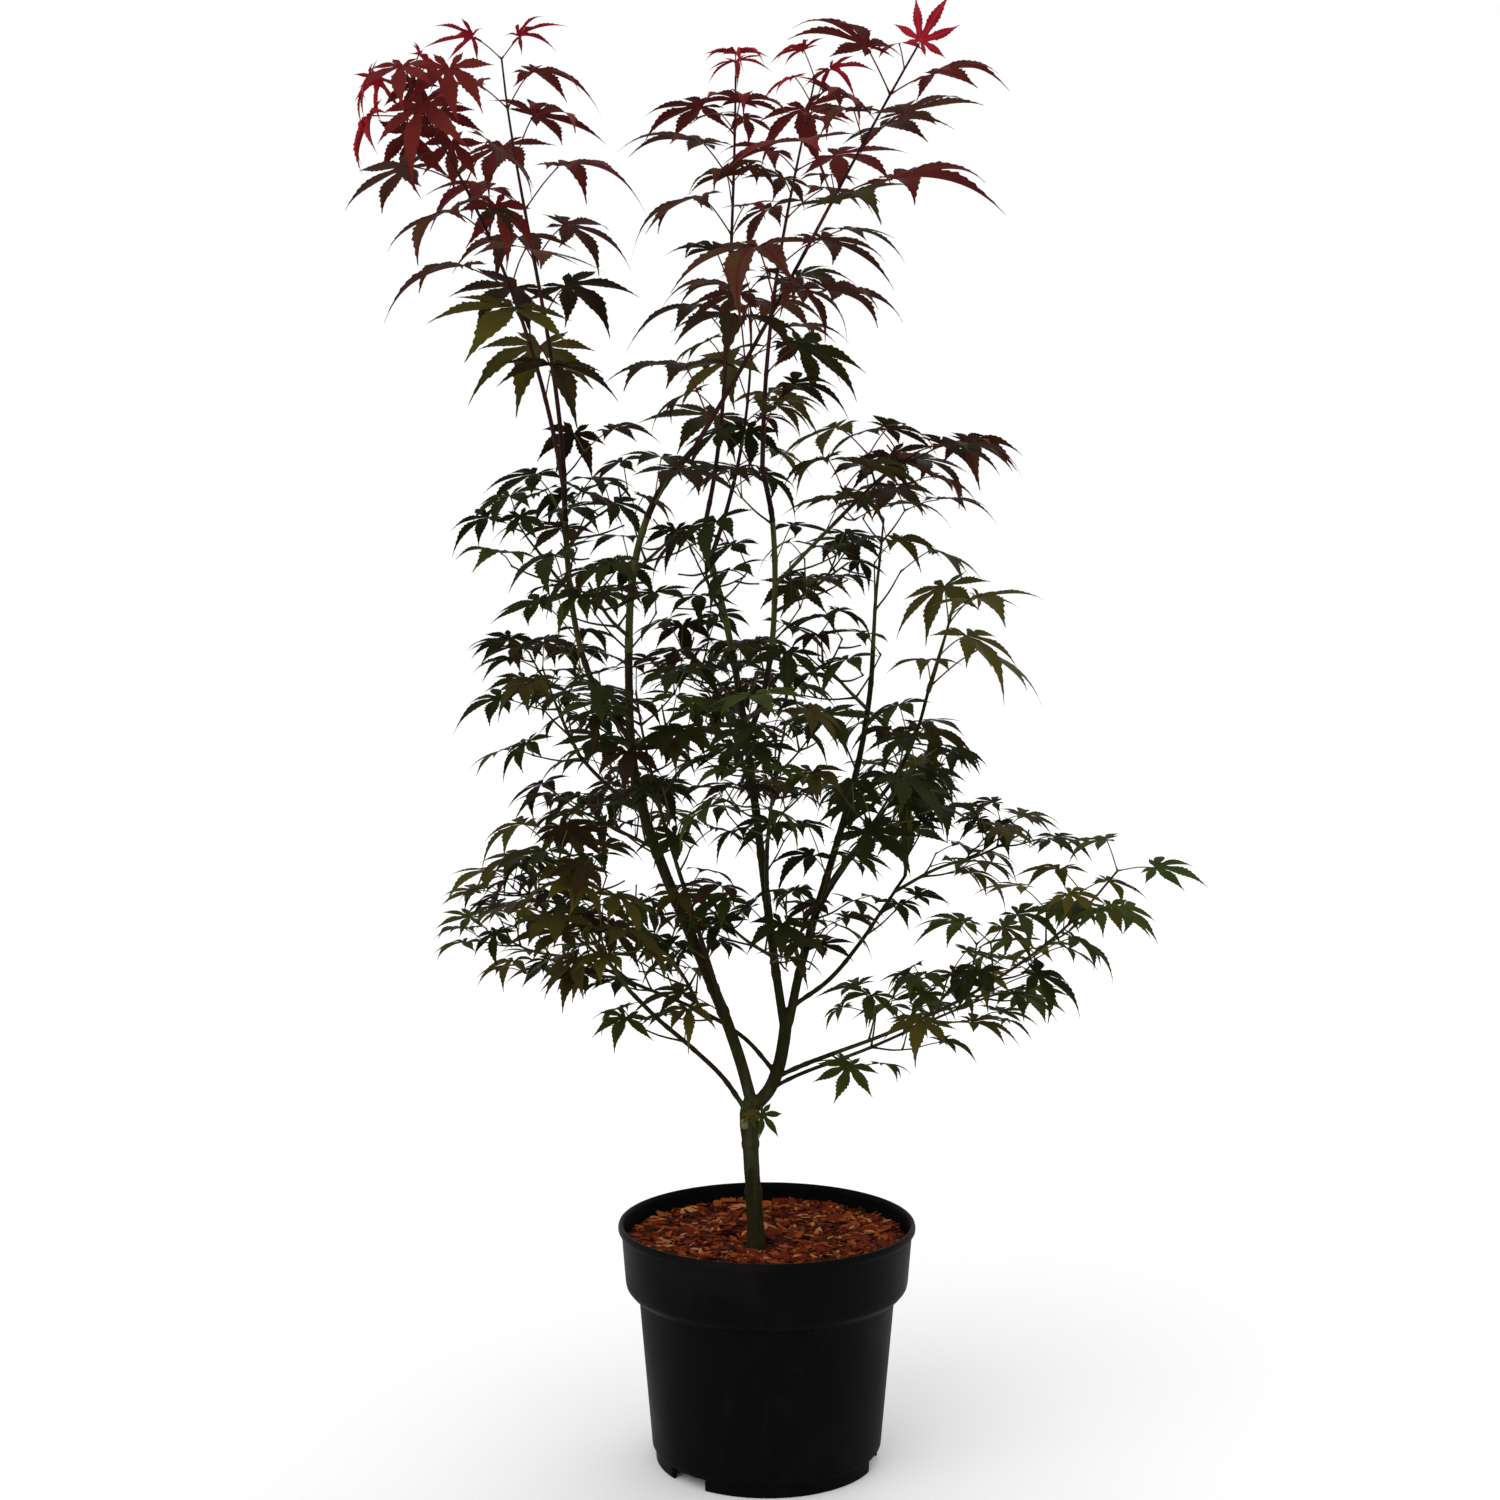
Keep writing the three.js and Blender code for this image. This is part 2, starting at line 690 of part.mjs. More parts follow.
// Plans a side twig with a pair of leaves at its tip, or returns null where none fits.
function planTwig(mass, from, direction, turn, length) {
  const jitter = [mass.random() - 0.5, mass.random() - 0.5];
  for (const swing of [0, 34, -34]) {
    const out = sideways(direction, turn + swing, rule.twigSpread + 16 * jitter[0], 0.12);
    const bent = out.clone().addScaledVector(up, 0.2).normalize();
    const middle = along(from, out, length * 0.5);
    const tip = along(middle, bent, length * 0.5);
    const samples = [along(from, out, length * 0.25), middle, tip];
    if (fits(mass.name, samples, 2.5) && clearOf(mass, samples, 0)) {
      mass.strands.push([[along(from, out, length * 0.2), middle, tip], 1.4]);
      const leaves = [0, 180].map((side) =>
        planLeaf(mass, tip, bent, side + 20 * jitter[1], 1, rule.droop),
      );
      return { out, middle, tip, bent, leaves };
    }
  }
  return null;
}

// Plans a whole mass: its stem with a pair of leaves or of side twigs at each node.
function planMass(name, spec) {
  const stem = stems[name];
  const mass = { name, spec, random: seededRandom(spec.seed), leaves: [], strands: [] };
  mass.strands.push([stem.points, 1.6]);
  const isShoot = spec.kind === "shoot";
  const nodes = [];
  if (spec.single) {
    const [distance, turn, droop] = spec.single;
    const direction = directionAlong(stem, distance);
    const leaf = planLeaf(mass, pointAlong(stem, distance), direction, turn, 1.15, droop);
    nodes.push({ distance, children: [leaf] });
  }
  for (let pair = 0; pair < spec.pairs; pair += 1) {
    const bare = isShoot ? rule.shootBare : rule.sprayBare;
    const share = mix(bare, isShoot ? 0.88 : 0.8, Math.pow(pair / (spec.pairs - 1), 0.92));
    const distance = share * spec.length;
    const place = pointAlong(stem, distance);
    const direction = directionAlong(stem, distance);
    const steep = isShoot || direction.z > 0.75;
    const wander = mass.random();
    const turn = steep ? 90 * pair + 50 * wander + 20 : (pair % 2 ? 24 : -24) + 30 * wander - 15;
    const children = [0, 180].map((side) => {
      if (isShoot) {
        const droop = rule.droop + spec.nod * share * share;
        return planLeaf(mass, place, direction, turn + side, 1 - 0.3 * share * share, droop);
      }
      const length = spec.twig * (1.1 - 0.45 * share) * (0.85 + 0.3 * mass.random());
      return planTwig(mass, place, direction, turn + side, length);
    });
    nodes.push({ distance, children });
  }
  const last = stem.points.length - 1;
  const end = stem.tangents[last - 1];
  const [scale, droop] = isShoot ? [0.5, rule.droop + spec.nod] : [0.95, rule.droop];
  const children = [0, 180].map((side) =>
    planLeaf(mass, stem.points[last], end, 90 * spec.pairs + side, scale, droop),
  );
  nodes.push({ distance: spec.length, children });
  return { stem, nodes };
}

// ---- One closed surface for each mass -----------------------------------------------------

// Twigs and stalks are three-sided. Each opens out of a face of what carries it, so a mass is
// one closed body with no seam.
function addRing(surface, centre, axis, side, radius) {
  const across = axis.clone().cross(side);
  return [0, 120, 240].map((angle) => {
    const point = centre
      .clone()
      .addScaledVector(side, Math.cos(radians(angle)) * radius)
      .addScaledVector(across, Math.sin(radians(angle)) * radius);
    return surface.points.push(point) - 1;
  });
}

// Turns the upper ring's order to the one with the least twist from the lower ring.
function leastTwist(surface, low, high) {
  const orders = [0, 1, 2].map((shift) => [0, 1, 2].map((corner) => high[(corner + shift) % 3]));
  const middle = (ring) =>
    ring.reduce((sum, corner) => sum.add(surface.points[corner]), new THREE.Vector3()).divideScalar(3);
  const [lowMiddle, highMiddle] = [middle(low), middle(high)];
  const away = (corner, centre) => surface.points[corner].clone().sub(centre).normalize();
  const agreement = (order) =>
    order.reduce(
      (sum, corner, index) => sum + away(corner, highMiddle).dot(away(low[index], lowMiddle)),
      0,
    );
  return orders.reduce((best, order) => (agreement(order) > agreement(best) ? order : best));
}

function joinRings(surface, low, high) {
  for (let corner = 0; corner < 3; corner += 1) {
    const next = (corner + 1) % 3;
    surface.triangles.push([low[corner], low[next], high[next]]);
    surface.triangles.push([low[corner], high[next], high[corner]]);
  }
}

function squared(vector, axis) {
  return vector.clone().addScaledVector(axis, -vector.dot(axis)).normalize();
}

// Turns a node's ring so that its faces look as squarely as they can along the shoots that
// grow there, and deals each shoot a face.
function turnToShoots(axis, shoots) {
  const start = squared(Math.abs(axis.z) > 0.9 ? new THREE.Vector3(1, 0, 0) : up, axis);
  let best = { score: -Infinity };
  for (let turn = 0; turn < 120; turn += 10) {
    const side = start.clone().applyAxisAngle(axis, radians(turn));
    const normals = [60, 180, 300].map((angle) => side.clone().applyAxisAngle(axis, radians(angle)));
    for (let first = 0; first < 3; first += 1) {
      for (const step of [1, 2]) {
        const faces = shoots.map((_, index) => (first + index * step) % 3);
        const score = Math.min(...shoots.map((shoot, index) => shoot.out.dot(normals[faces[index]])), 1);
        if (score > best.score) {
          best = { score, side, faces };
        }
      }
    }
  }
  return best;
}

// Carries a tube past a node, where each shoot opens out of a face of its own.
function addNode(surface, low, centre, axis, radius, shoots) {
  const { side, faces } = turnToShoots(axis, shoots);
  const first = addRing(surface, along(centre, axis, -1.4), axis, side, radius);
  const second = addRing(surface, along(centre, axis, 1.4), axis, side, radius * 0.9);
  joinRings(surface, low, leastTwist(surface, low, first));
  for (let corner = 0; corner < 3; corner += 1) {
    const next = (corner + 1) % 3;
    const open = [first[corner], first[next], second[next]];
    surface.triangles.push([first[corner], second[next], second[corner]]);
    const shoot = shoots[faces.indexOf(corner)];
    if (!shoot) {
      surface.triangles.push(open);
    } else if (shoot.frame) {
      addLeaf(surface, open, shoot.frame);
    } else {
      addTwig(surface, open, shoot);
    }
  }
  return second;
}

// A leaf: a three-sided stalk from its opening, then a pointed star that is thickest in the
// middle, where the stalk meets it from below.
function addLeaf(surface, opening, frame) {
  const { points, triangles } = surface;
  const half = rule.bladeThickness / 2;
  const reach = (rule.petioleRadius * 1.2) / frame.size;
  const ring = [-120, 0, 120].map((angle) => {
    const x = Math.cos(radians(angle)) * reach;
    const y = Math.sin(radians(angle)) * reach;
    return points.push(onLeaf(frame, x, y, -half)) - 1;
  });
  joinRings(surface, opening, leastTwist(surface, opening, ring));

  const edge = [];
  lobes.forEach((lobe, index) => {
    const corner = Math.min(2, Math.floor((index * 3) / lobes.length));
    edge.push([points.push(lobePoint(frame, lobe, 1)) - 1, corner]);
    const next = lobes[index + 1];
    if (next) {
      const angle = radians((lobe[0] + next[0]) / 2);
      const sinus = onLeaf(frame, Math.cos(angle) * sinusShare, Math.sin(angle) * sinusShare, -0.01);
      edge.push([points.push(sinus) - 1, corner]);
    }
  });
  edge.push([points.push(onLeaf(frame, -0.07, 0, -0.01)) - 1, 2]);
  const top = points.push(onLeaf(frame, 0, 0, half)) - 1;
  edge.forEach(([vertex, corner], index) => {
    const [next, nextCorner] = edge[(index + 1) % edge.length];
    triangles.push([top, vertex, next]);
    triangles.push([next, vertex, ring[corner]]);
    if (nextCorner !== corner) {
      triangles.push([next, ring[corner], ring[nextCorner]]);
    }
  });
}

// Closes a tube with a pointed tip, whose faces carry the last pair of leaves.
function addTip(surface, low, centre, axis, radius, shoots) {
  const { side, faces } = turnToShoots(axis, shoots);
  const ring = addRing(surface, along(centre, axis, -1), axis, side, radius);
  joinRings(surface, low, leastTwist(surface, low, ring));
  const point = surface.points.push(along(centre, axis, 1.3)) - 1;
  for (let corner = 0; corner < 3; corner += 1) {
    const open = [ring[corner], ring[(corner + 1) % 3], point];
    const shoot = shoots[faces.indexOf(corner)];
    if (shoot) {
      addLeaf(surface, open, shoot.frame);
    } else {
      surface.triangles.push(open);
    }
  }
}

function addTwig(surface, opening, { out, middle, tip, bent, leaves }) {
  const [thick, thin] = rule.twigRadii;
  const ring = addRing(surface, middle, out, squared(up, out), mix(thick, thin, 0.4));
  const placed = leastTwist(surface, opening, ring);
  joinRings(surface, opening, placed);
  addTip(surface, placed, tip, bent, thin, leaves.filter((leaf) => leaf));
}

// The whole mass as one closed body, cut back clear of the limbs that it grows from.
function massSolid(spec, { stem, nodes }) {
  const surface = { points: [], triangles: [] };
  const [thick, thin] = spec.kind === "shoot" ? rule.shootRadii : rule.stemRadii;
  const atEnd = spec.at >= limbs[spec.from].line.length - 1;
  const square = atEnd ? directionAlong(limbs[spec.from].line, spec.at) : stem.tangents[0];
  const foot = stem.points[0];
  let ring = addRing(surface, foot, square, squared(new THREE.Vector3(1, 0, 0), square), thick);
  surface.triangles.push([...ring].reverse());
  const plain = stem.points
    .map((point, index) => ({ distance: (index / stem.tangents.length) * stem.length, children: [] }))
    .filter(({ distance }) => distance > 0)
    .filter(({ distance }) => nodes.every((node) => Math.abs(node.distance - distance) > 22));
  const stations = [...nodes, ...plain].sort((a, b) => a.distance - b.distance);
  for (const { distance, children } of stations) {
    const axis = directionAlong(stem, distance);
    const centre = pointAlong(stem, distance);
    const radius = mix(thick, thin, distance / stem.length);
    const shoots = children.filter((child) => child);
    if (distance === stem.length) {
      addTip(surface, ring, centre, axis, radius, shoots);
    } else if (shoots.length) {
      ring = addNode(surface, ring, centre, axis, radius, shoots);
    } else {
      const next = addRing(surface, centre, axis, squared(new THREE.Vector3(1, 0, 0), axis), radius);
      const placed = leastTwist(surface, ring, next);
      joinRings(surface, ring, placed);
      ring = placed;
    }
  }
  let solid = solidOf(surface.points, surface.triangles);
  for (const limb of Object.values(limbs)) {
    solid = solid.subtract(limb.cutter);
  }
  return mainPiece(solid);
}

// ---- Pot, compost and bark ----------------------------------------------------------------

function potSolid() {
  const rim = pot.height;
  const lipFoot = rim - pot.lipHeight;
  const outside = [
    [0, 0],
    [pot.padRadius, 0],
    [pot.padRadius + 3, pot.footHeight - 3],
    [pot.footRadius - 6.5, pot.footHeight - 3],
    [pot.footRadius - 3, 0],
    [pot.footRadius, 0],
    [pot.footRadius + 0.5, pot.footHeight],
    [pot.wallFootRadius, pot.footHeight + 1],
    [pot.wallTopRadius, pot.wallTop],
    [pot.collarFootRadius - 5.5, pot.wallTop + 3.5],
    [pot.collarFootRadius - 1, pot.collarFoot - 5],
    [pot.collarFootRadius, pot.collarFoot],
    [pot.collarTopRadius, lipFoot],
    [pot.lipRadius - 0.5, lipFoot + 1.5],
    [pot.lipRadius, lipFoot + 5],
    [pot.lipRadius - 2, rim],
  ];
  const inside = [
    [pot.collarTopRadius - 0.8, rim],
    [pot.collarTopRadius - pot.wall, rim - 4],
    [pot.collarFootRadius - pot.wall, pot.collarFoot + 1],
    [pot.wallTopRadius - pot.wall, pot.wallTop + 3],
    [pot.wallFootRadius - pot.wall, pot.footHeight + 3],
    [pot.footRadius - 3, pot.footHeight],
    [0, pot.footHeight],
  ];
  let solid = turned([...outside, ...inside], pot.sides);
  const depth = 12;
  for (const notch of pot.notches) {
    const cutter = new THREE.BoxGeometry(pot.notchWidth, depth, 2 * (pot.footHeight - 2));
    const angle = radians(notch);
    cutter.rotateZ(angle);
    const radius = pot.footRadius - 1;
    cutter.translate(radius * Math.sin(angle), -radius * Math.cos(angle), -0.4);
    solid = solid.subtract(solidOfGeometry(cutter));
  }
  return solid;
}

// Radius of the pot's inside at a height, less the clearance.
function insideRadius(height) {
  const collarShare = (height - pot.collarFoot - 1) / (pot.height - 4 - pot.collarFoot - 1);
  const collar = mix(pot.collarFootRadius, pot.collarTopRadius, collarShare);
  return collar - pot.wall - 2 * clearance;
}

function compostSolid() {
  const gap = clearance + 0.1;
  return turned(
    [
      [0, pot.footHeight + clearance],
      [pot.footRadius - 4, pot.footHeight + clearance],
      [pot.wallFootRadius - pot.wall - gap, pot.footHeight + 4],
      [pot.wallTopRadius - pot.wall - gap, pot.wallTop + 4],
      [pot.collarFootRadius - pot.wall - 1.2, pot.collarFoot + 3],
      [insideRadius(fill.compostTop), fill.compostTop],
      [0, fill.compostTop],
    ],
    pot.sides,
  );
}

// Height of the bark's uneven surface, with a dip round the trunk's foot.
function barkHeight(x, y) {
  const waves = Math.sin(0.09 * x + 1.3) * Math.cos(0.075 * y) + 0.6 * Math.sin(0.16 * (x - y));
  const away = Math.hypot(x - trunk.foot[0], y - trunk.foot[1]);
  const dip = fill.dipDepth * Math.exp(-((away / fill.dipRadius) ** 2));
  return fill.barkTop + fill.unevenness * waves * 0.6 - dip;
}

function barkSolid() {
  const bottom = fill.compostTop + clearance;
  const radii = [35, 75, 108, fill.barkRadius];
  const points = [new THREE.Vector3(0, 0, barkHeight(0, 0))];
  for (const radius of radii) {
    for (let side = 0; side < pot.sides; side += 1) {
      const angle = (2 * Math.PI * side) / pot.sides;
      const x = radius * Math.sin(angle);
      const y = radius * Math.cos(angle);
      points.push(new THREE.Vector3(x, y, barkHeight(x, y)));
    }
  }
  for (let side = 0; side < pot.sides; side += 1) {
    const angle = (2 * Math.PI * side) / pot.sides;
    const radius = insideRadius(bottom);
    points.push(new THREE.Vector3(radius * Math.sin(angle), radius * Math.cos(angle), bottom));
  }
  const centre = points.length;
  points.push(new THREE.Vector3(0, 0, bottom));
  const triangles = [];
  for (let side = 0; side < pot.sides; side += 1) {
    const next = (side + 1) % pot.sides;
    triangles.push([0, 1 + next, 1 + side]);
    for (let ring = 0; ring < radii.length; ring += 1) {
      const a = 1 + ring * pot.sides + side;
      const b = 1 + ring * pot.sides + next;
      triangles.push([a, b, b + pot.sides], [a, b + pot.sides, a + pot.sides]);
    }
    const low = 1 + radii.length * pot.sides;
    triangles.push([low + side, low + next, centre]);
  }
  return solidOf(points, triangles).subtract(limbs.trunk.cutter);
}

// ---- Assembly -----------------------------------------------------------------------------

trunkLimb();
for (const [name, spec] of Object.entries(boughs)) {
  boughLimb(name, spec);
}
for (const [name, spec] of Object.entries(masses)) {
  massStem(name, spec);
}

const plant = new THREE.Group();
plant.name = "potted_japanese_maple";
plant.add(nodeOf("pot", potSolid(), "pot"));
plant.add(nodeOf("compost", compostSolid(), "compost"));
plant.add(nodeOf("bark_mulch", mainPiece(barkSolid()), "bark_mulch"));
for (const [name, limb] of Object.entries(limbs)) {
  plant.add(nodeOf(name, limb.solid, name === "trunk" ? "oldBark" : "youngBark"));
}
for (const [name, spec] of Object.entries(masses)) {
  plant.add(nodeOf(name, massSolid(spec, planMass(name, spec)), spec.tone));
}

export default plant;
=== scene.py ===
"""Potted Japanese maple: a young grafted plant with many slim stems in a ten-litre nursery pot."""

import json
import math
from collections import namedtuple

import bpy
import numpy as np
from bpy.props import FloatProperty, FloatVectorProperty, IntProperty, PointerProperty
from bpy.types import Operator, Panel, PropertyGroup
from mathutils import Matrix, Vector

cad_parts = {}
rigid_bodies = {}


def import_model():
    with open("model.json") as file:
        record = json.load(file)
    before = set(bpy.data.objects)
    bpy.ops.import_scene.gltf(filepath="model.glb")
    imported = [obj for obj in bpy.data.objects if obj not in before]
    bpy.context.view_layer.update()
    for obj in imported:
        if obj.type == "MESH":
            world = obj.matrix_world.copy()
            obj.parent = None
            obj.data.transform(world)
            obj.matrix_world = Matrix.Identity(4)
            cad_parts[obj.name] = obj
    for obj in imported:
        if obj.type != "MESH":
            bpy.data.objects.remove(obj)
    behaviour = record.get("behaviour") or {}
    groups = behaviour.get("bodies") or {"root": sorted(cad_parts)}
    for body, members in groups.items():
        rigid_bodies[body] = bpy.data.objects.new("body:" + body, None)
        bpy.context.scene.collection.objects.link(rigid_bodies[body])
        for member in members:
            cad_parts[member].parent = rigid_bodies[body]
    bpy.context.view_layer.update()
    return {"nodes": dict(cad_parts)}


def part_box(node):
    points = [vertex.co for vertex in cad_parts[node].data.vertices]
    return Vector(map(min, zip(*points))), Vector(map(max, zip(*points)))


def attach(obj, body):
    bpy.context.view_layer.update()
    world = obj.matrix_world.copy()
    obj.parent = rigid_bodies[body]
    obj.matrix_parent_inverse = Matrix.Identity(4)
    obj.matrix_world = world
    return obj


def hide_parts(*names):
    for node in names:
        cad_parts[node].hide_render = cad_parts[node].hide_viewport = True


bl_info = {
    "name": "Potted Japanese maple",
    "version": (1, 0, 0),
    "blender": (4, 5, 0),
    "location": "3D View > Sidebar > Maple",
    "description": "Builds a young Japanese maple in its nursery pot, with bark mulch",
    "category": "Add Mesh",
}

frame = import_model()
pot_low, pot_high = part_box("pot")
trunk_low, trunk_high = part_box("trunk")

MM = 0.001
UP = np.array((0.0, 0.0, 1.0))


# ---- Sizes and colours that a user would change -------------------------------------------


class PotSizes(PropertyGroup):
    """The pot and what fills it."""

    height: FloatProperty(
        name="Height", description="Height of the pot's rim above the ground",
        default=pot_high.z, min=0.05, unit="LENGTH",
    )
    lip_radius: FloatProperty(
        name="Lip radius", description="Radius of the rolled lip",
        default=0.140, min=0.03, unit="LENGTH",
    )
    wall: FloatProperty(
        name="Wall", description="Thickness of the plastic",
        default=0.0022, min=0.0005, unit="LENGTH",
    )
    sides: IntProperty(
        name="Sides", description="Faces round the pot", default=144, min=24, max=512,
    )
    chips: IntProperty(
        name="Bark chips", description="Number of loose chips on the mulch",
        default=2900, min=0, max=8000,
    )
    plastic: FloatVectorProperty(
        name="Plastic", description="Colour of the pot's plastic",
        subtype="COLOR", default=(0.0020, 0.0016, 0.0018), min=0, max=1,
    )


class BarkSizes(PropertyGroup):
    """The trunk and the boughs."""

    relief: FloatProperty(
        name="Relief", description="How far the bark stands in and out",
        default=0.00032, min=0, unit="LENGTH",
    )
    node_gap: FloatProperty(
        name="Node gap", description="Distance from one ringed node of a stem to the next",
        default=0.046, min=0.01, unit="LENGTH",
    )
    old_bark: FloatVectorProperty(
        name="Old bark", description="Colour of the trunk and the thick stems",
        subtype="COLOR", default=(0.0185, 0.0170, 0.0055), min=0, max=1,
    )
    green_bark: FloatVectorProperty(
        name="Green bark", description="Colour of the stems half way up",
        subtype="COLOR", default=(0.0145, 0.0125, 0.0045), min=0, max=1,
    )
    fresh_bark: FloatVectorProperty(
        name="Fresh bark", description="Yellow-green bark of the upper stems",
        subtype="COLOR", default=(0.048, 0.054, 0.013), min=0, max=1,
    )
    purple_bark: FloatVectorProperty(
        name="Purple bark", description="Colour of this year's stems near the top",
        subtype="COLOR", default=(0.018, 0.009, 0.007), min=0, max=1,
    )


class LeafSizes(PropertyGroup):
    """The twigs and the leaves."""

    fineness: FloatProperty(
        name="Fineness", description="Share of the places for finer twigs that carry one",
        default=0.44, min=0, max=1, subtype="FACTOR",
    )
    lobe_width: FloatProperty(
        name="Lobe width", description="Half width of a lobe as a share of its length",
        default=0.126, min=0.03, max=0.3,
    )
    curl: FloatProperty(
        name="Curl", description="How far the drawn-out tips curl down, as a share of the blade",
        default=0.13, min=0, max=1,
    )
    fullness: FloatProperty(
        name="Fullness", description="Size of a leaf against the room that it was given",
        default=1.1, min=0.5, max=1.5,
    )
    patterns: IntProperty(
        name="Leaf patterns", description="Number of different shapes of each kind of leaf",
        default=9, min=1, max=40,
    )


class LeafColours(PropertyGroup):
    """The leaf colours that are dealt out by spray."""

    scarlet: FloatVectorProperty(
        name="Scarlet", description="Newest leaves at the very tips",
        subtype="COLOR", default=(0.3, 0.008, 0.022), min=0, max=1,
    )
    crimson: FloatVectorProperty(
        name="Crimson", description="Young leaves below the tips",
        subtype="COLOR", default=(0.125, 0.014, 0.015), min=0, max=1,
    )
    maroon: FloatVectorProperty(
        name="Maroon", description="Leaves of the upper shoots",
        subtype="COLOR", default=(0.074, 0.022, 0.015), min=0, max=1,
    )
    # Plum and deep green are the leaves' own dark colours, made darker still as painted shade for the
    # masses in the middle.
    plum: FloatVectorProperty(
        name="Plum", description="Dark purple-brown leaves of the middle",
        subtype="COLOR", default=(0.026, 0.0145, 0.0072), min=0, max=1,
    )
    bronze: FloatVectorProperty(
        name="Bronze", description="Brown-green leaves turning to the light",
        subtype="COLOR", default=(0.038, 0.028, 0.0075), min=0, max=1,
    )
    olive: FloatVectorProperty(
        name="Olive", description="Yellow-green leaves",
        subtype="COLOR", default=(0.060, 0.050, 0.0085), min=0, max=1,
    )
    green: FloatVectorProperty(
        name="Green", description="Leaves of the low sprays",
        subtype="COLOR", default=(0.029, 0.037, 0.0072), min=0, max=1,
    )
    deep_green: FloatVectorProperty(
        name="Deep green", description="Shaded leaves of the middle",
        subtype="COLOR", default=(0.0160, 0.0175, 0.0048), min=0, max=1,
    )


class StageSizes(PropertyGroup):
    """The floor, the lights and the camera."""

    floor_size: FloatProperty(
        name="Floor size", description="Side of the square floor",
        default=40.0, min=2, unit="LENGTH",
    )
    floor_colour: FloatVectorProperty(
        name="Floor colour", description="Colour of the plain pale floor",
        subtype="COLOR", default=(0.90, 0.90, 0.90), min=0, max=1,
    )
    light: FloatProperty(
        name="Light", description="Strength of the even light from all round",
        default=1.0, min=0,
    )


# ---- The plant's sizes, in millimetres ----------------------------------------------------

TRUNK_FOOT = (-10, -22, 200.3)
Trunk = namedtuple("Trunk", "length lean heading profile")
trunk = Trunk(
    141,
    (1, 9, 1),
    (120, 112),
    # Share of the length and radius there: root flare, taper, graft swelling, fork.
    (
        (0, 10.6),
        (0.07, 9.2),
        (0.16, 8.3),
        (0.45, 7.4),
        (0.7, 7.5),
        (0.84, 9.4),
        (0.93, 9.2),
        (1, 6.6),
    ),
)

# Each bough leaves its parent at a distance along it. Lean is the angle from upright at its
# foot, middle and tip; heading is the compass angle from +X at its foot and tip; aside shifts
# the foot towards its own side of a fork. Radii are at the foot and the tip.
Bough = namedtuple("Bough", "parent at length lean heading radii aside", defaults=(0,))
boughs = {
    "left_stem": Bough("trunk", 134, 322, (12, 23, 14), (-168, -174), (5.6, 4.7), -4),
    "left_stem_top": Bough("left_stem", 322, 325, (14, 9, 48), (-134, 4), (4.2, 2.7)),
    "right_stem": Bough("trunk", 134, 92, (56, 19, 10), (10, 46), (6.3, 5.9), 3),
    "centre_stem": Bough("right_stem", 90, 465, (10, 8, 18), (156, 162), (4.3, 2.7), 3),
    "rear_right_stem": Bough("right_stem", 90, 375, (10, 20, 1), (20, 50), (4.5, 2.1), 3),
    "middle_stem": Bough("centre_stem", 265, 260, (24, 8, 18), (8, -156), (2.9, 2.4)),
    "left_shoot_stem": Bough("left_stem_top", 45, 265, (45, 12, 9), (180, 100), (2.9, 2.5)),
    "front_left_stem": Bough("left_stem", 85, 165, (22, 25, 28), (-132, -125), (2.4, 2.0)),
    "low_left_front": Bough("trunk", 128, 190, (28, 50, 44), (-150, -136), (2.5, 1.9)),
    "low_left_rear": Bough("right_stem", 40, 210, (36, 72, 67), (154, 152), (2.2, 1.4)),
    "left_fan": Bough("left_stem", 300, 95, (69, 59, 54), (148, 133), (2.1, 1.7)),
    "right_fan": Bough("rear_right_stem", 190, 180, (64, 39, 39), (-26, -80), (2.1, 1.5)),
    "right_arch": Bough("rear_right_stem", 14, 196, (73, 51, 59), (34, 56), (2.3, 1.5)),
    "low_right_front": Bough("right_stem", 35, 66, (61, 65, 67), (-16, -21), (2.3, 2.1)),
    "low_right_rear": Bough("right_stem", 22, 66, (62, 73, 78), (24, 27), (2.0, 1.8)),
    "inner_right": Bough("middle_stem", 150, 100, (53, 57, 63), (-44, -59), (1.9, 1.7)),
    "front_bough": Bough("centre_stem", 110, 125, (48, 57, 62), (-92, -89), (2.2, 1.9)),
    "rear_bough": Bough("centre_stem", 190, 120, (68, 71, 72), (96, 96), (2.1, 1.8)),
    "rear_left": Bough("left_stem", 170, 115, (58, 65, 67), (110, 104), (2.1, 1.8)),
    "rear_right": Bough("rear_right_stem", 112, 125, (59, 68, 71), (68, 66), (2.1, 1.8)),
    "front_right": Bough("rear_right_stem", 82, 105, (40, 50, 57), (-72, -70), (2.0, 1.7)),
}

# Each mass of foliage grows from one stem, set like a bough. A shoot carries pairs of leaves
# all along it, and nod is how far they droop or lift more towards its tip; a spray carries
# pairs of side twigs with leaves at their ends, and single is one leaf near its foot, by
# distance, turn and droop. Blade is the length of a leaf's middle lobe, tone its colour.
Mass = namedtuple("Mass", "parent at length lean heading kind pairs twig blade nod tone seed single")
# A mass leaves its parent from the middle of it.
Mass.aside = 0


def shoot(parent, at, length, lean, heading, pairs, blade, nod, tone, seed):
    return Mass(parent, at, length, lean, heading, "shoot", pairs, 0, blade, nod, tone, seed, None)


def spray(parent, at, length, lean, heading, pairs, twig, blade, tone, seed, single=None):
    return Mass(parent, at, length, lean, heading, "spray", pairs, twig, blade, 0, tone, seed, single)


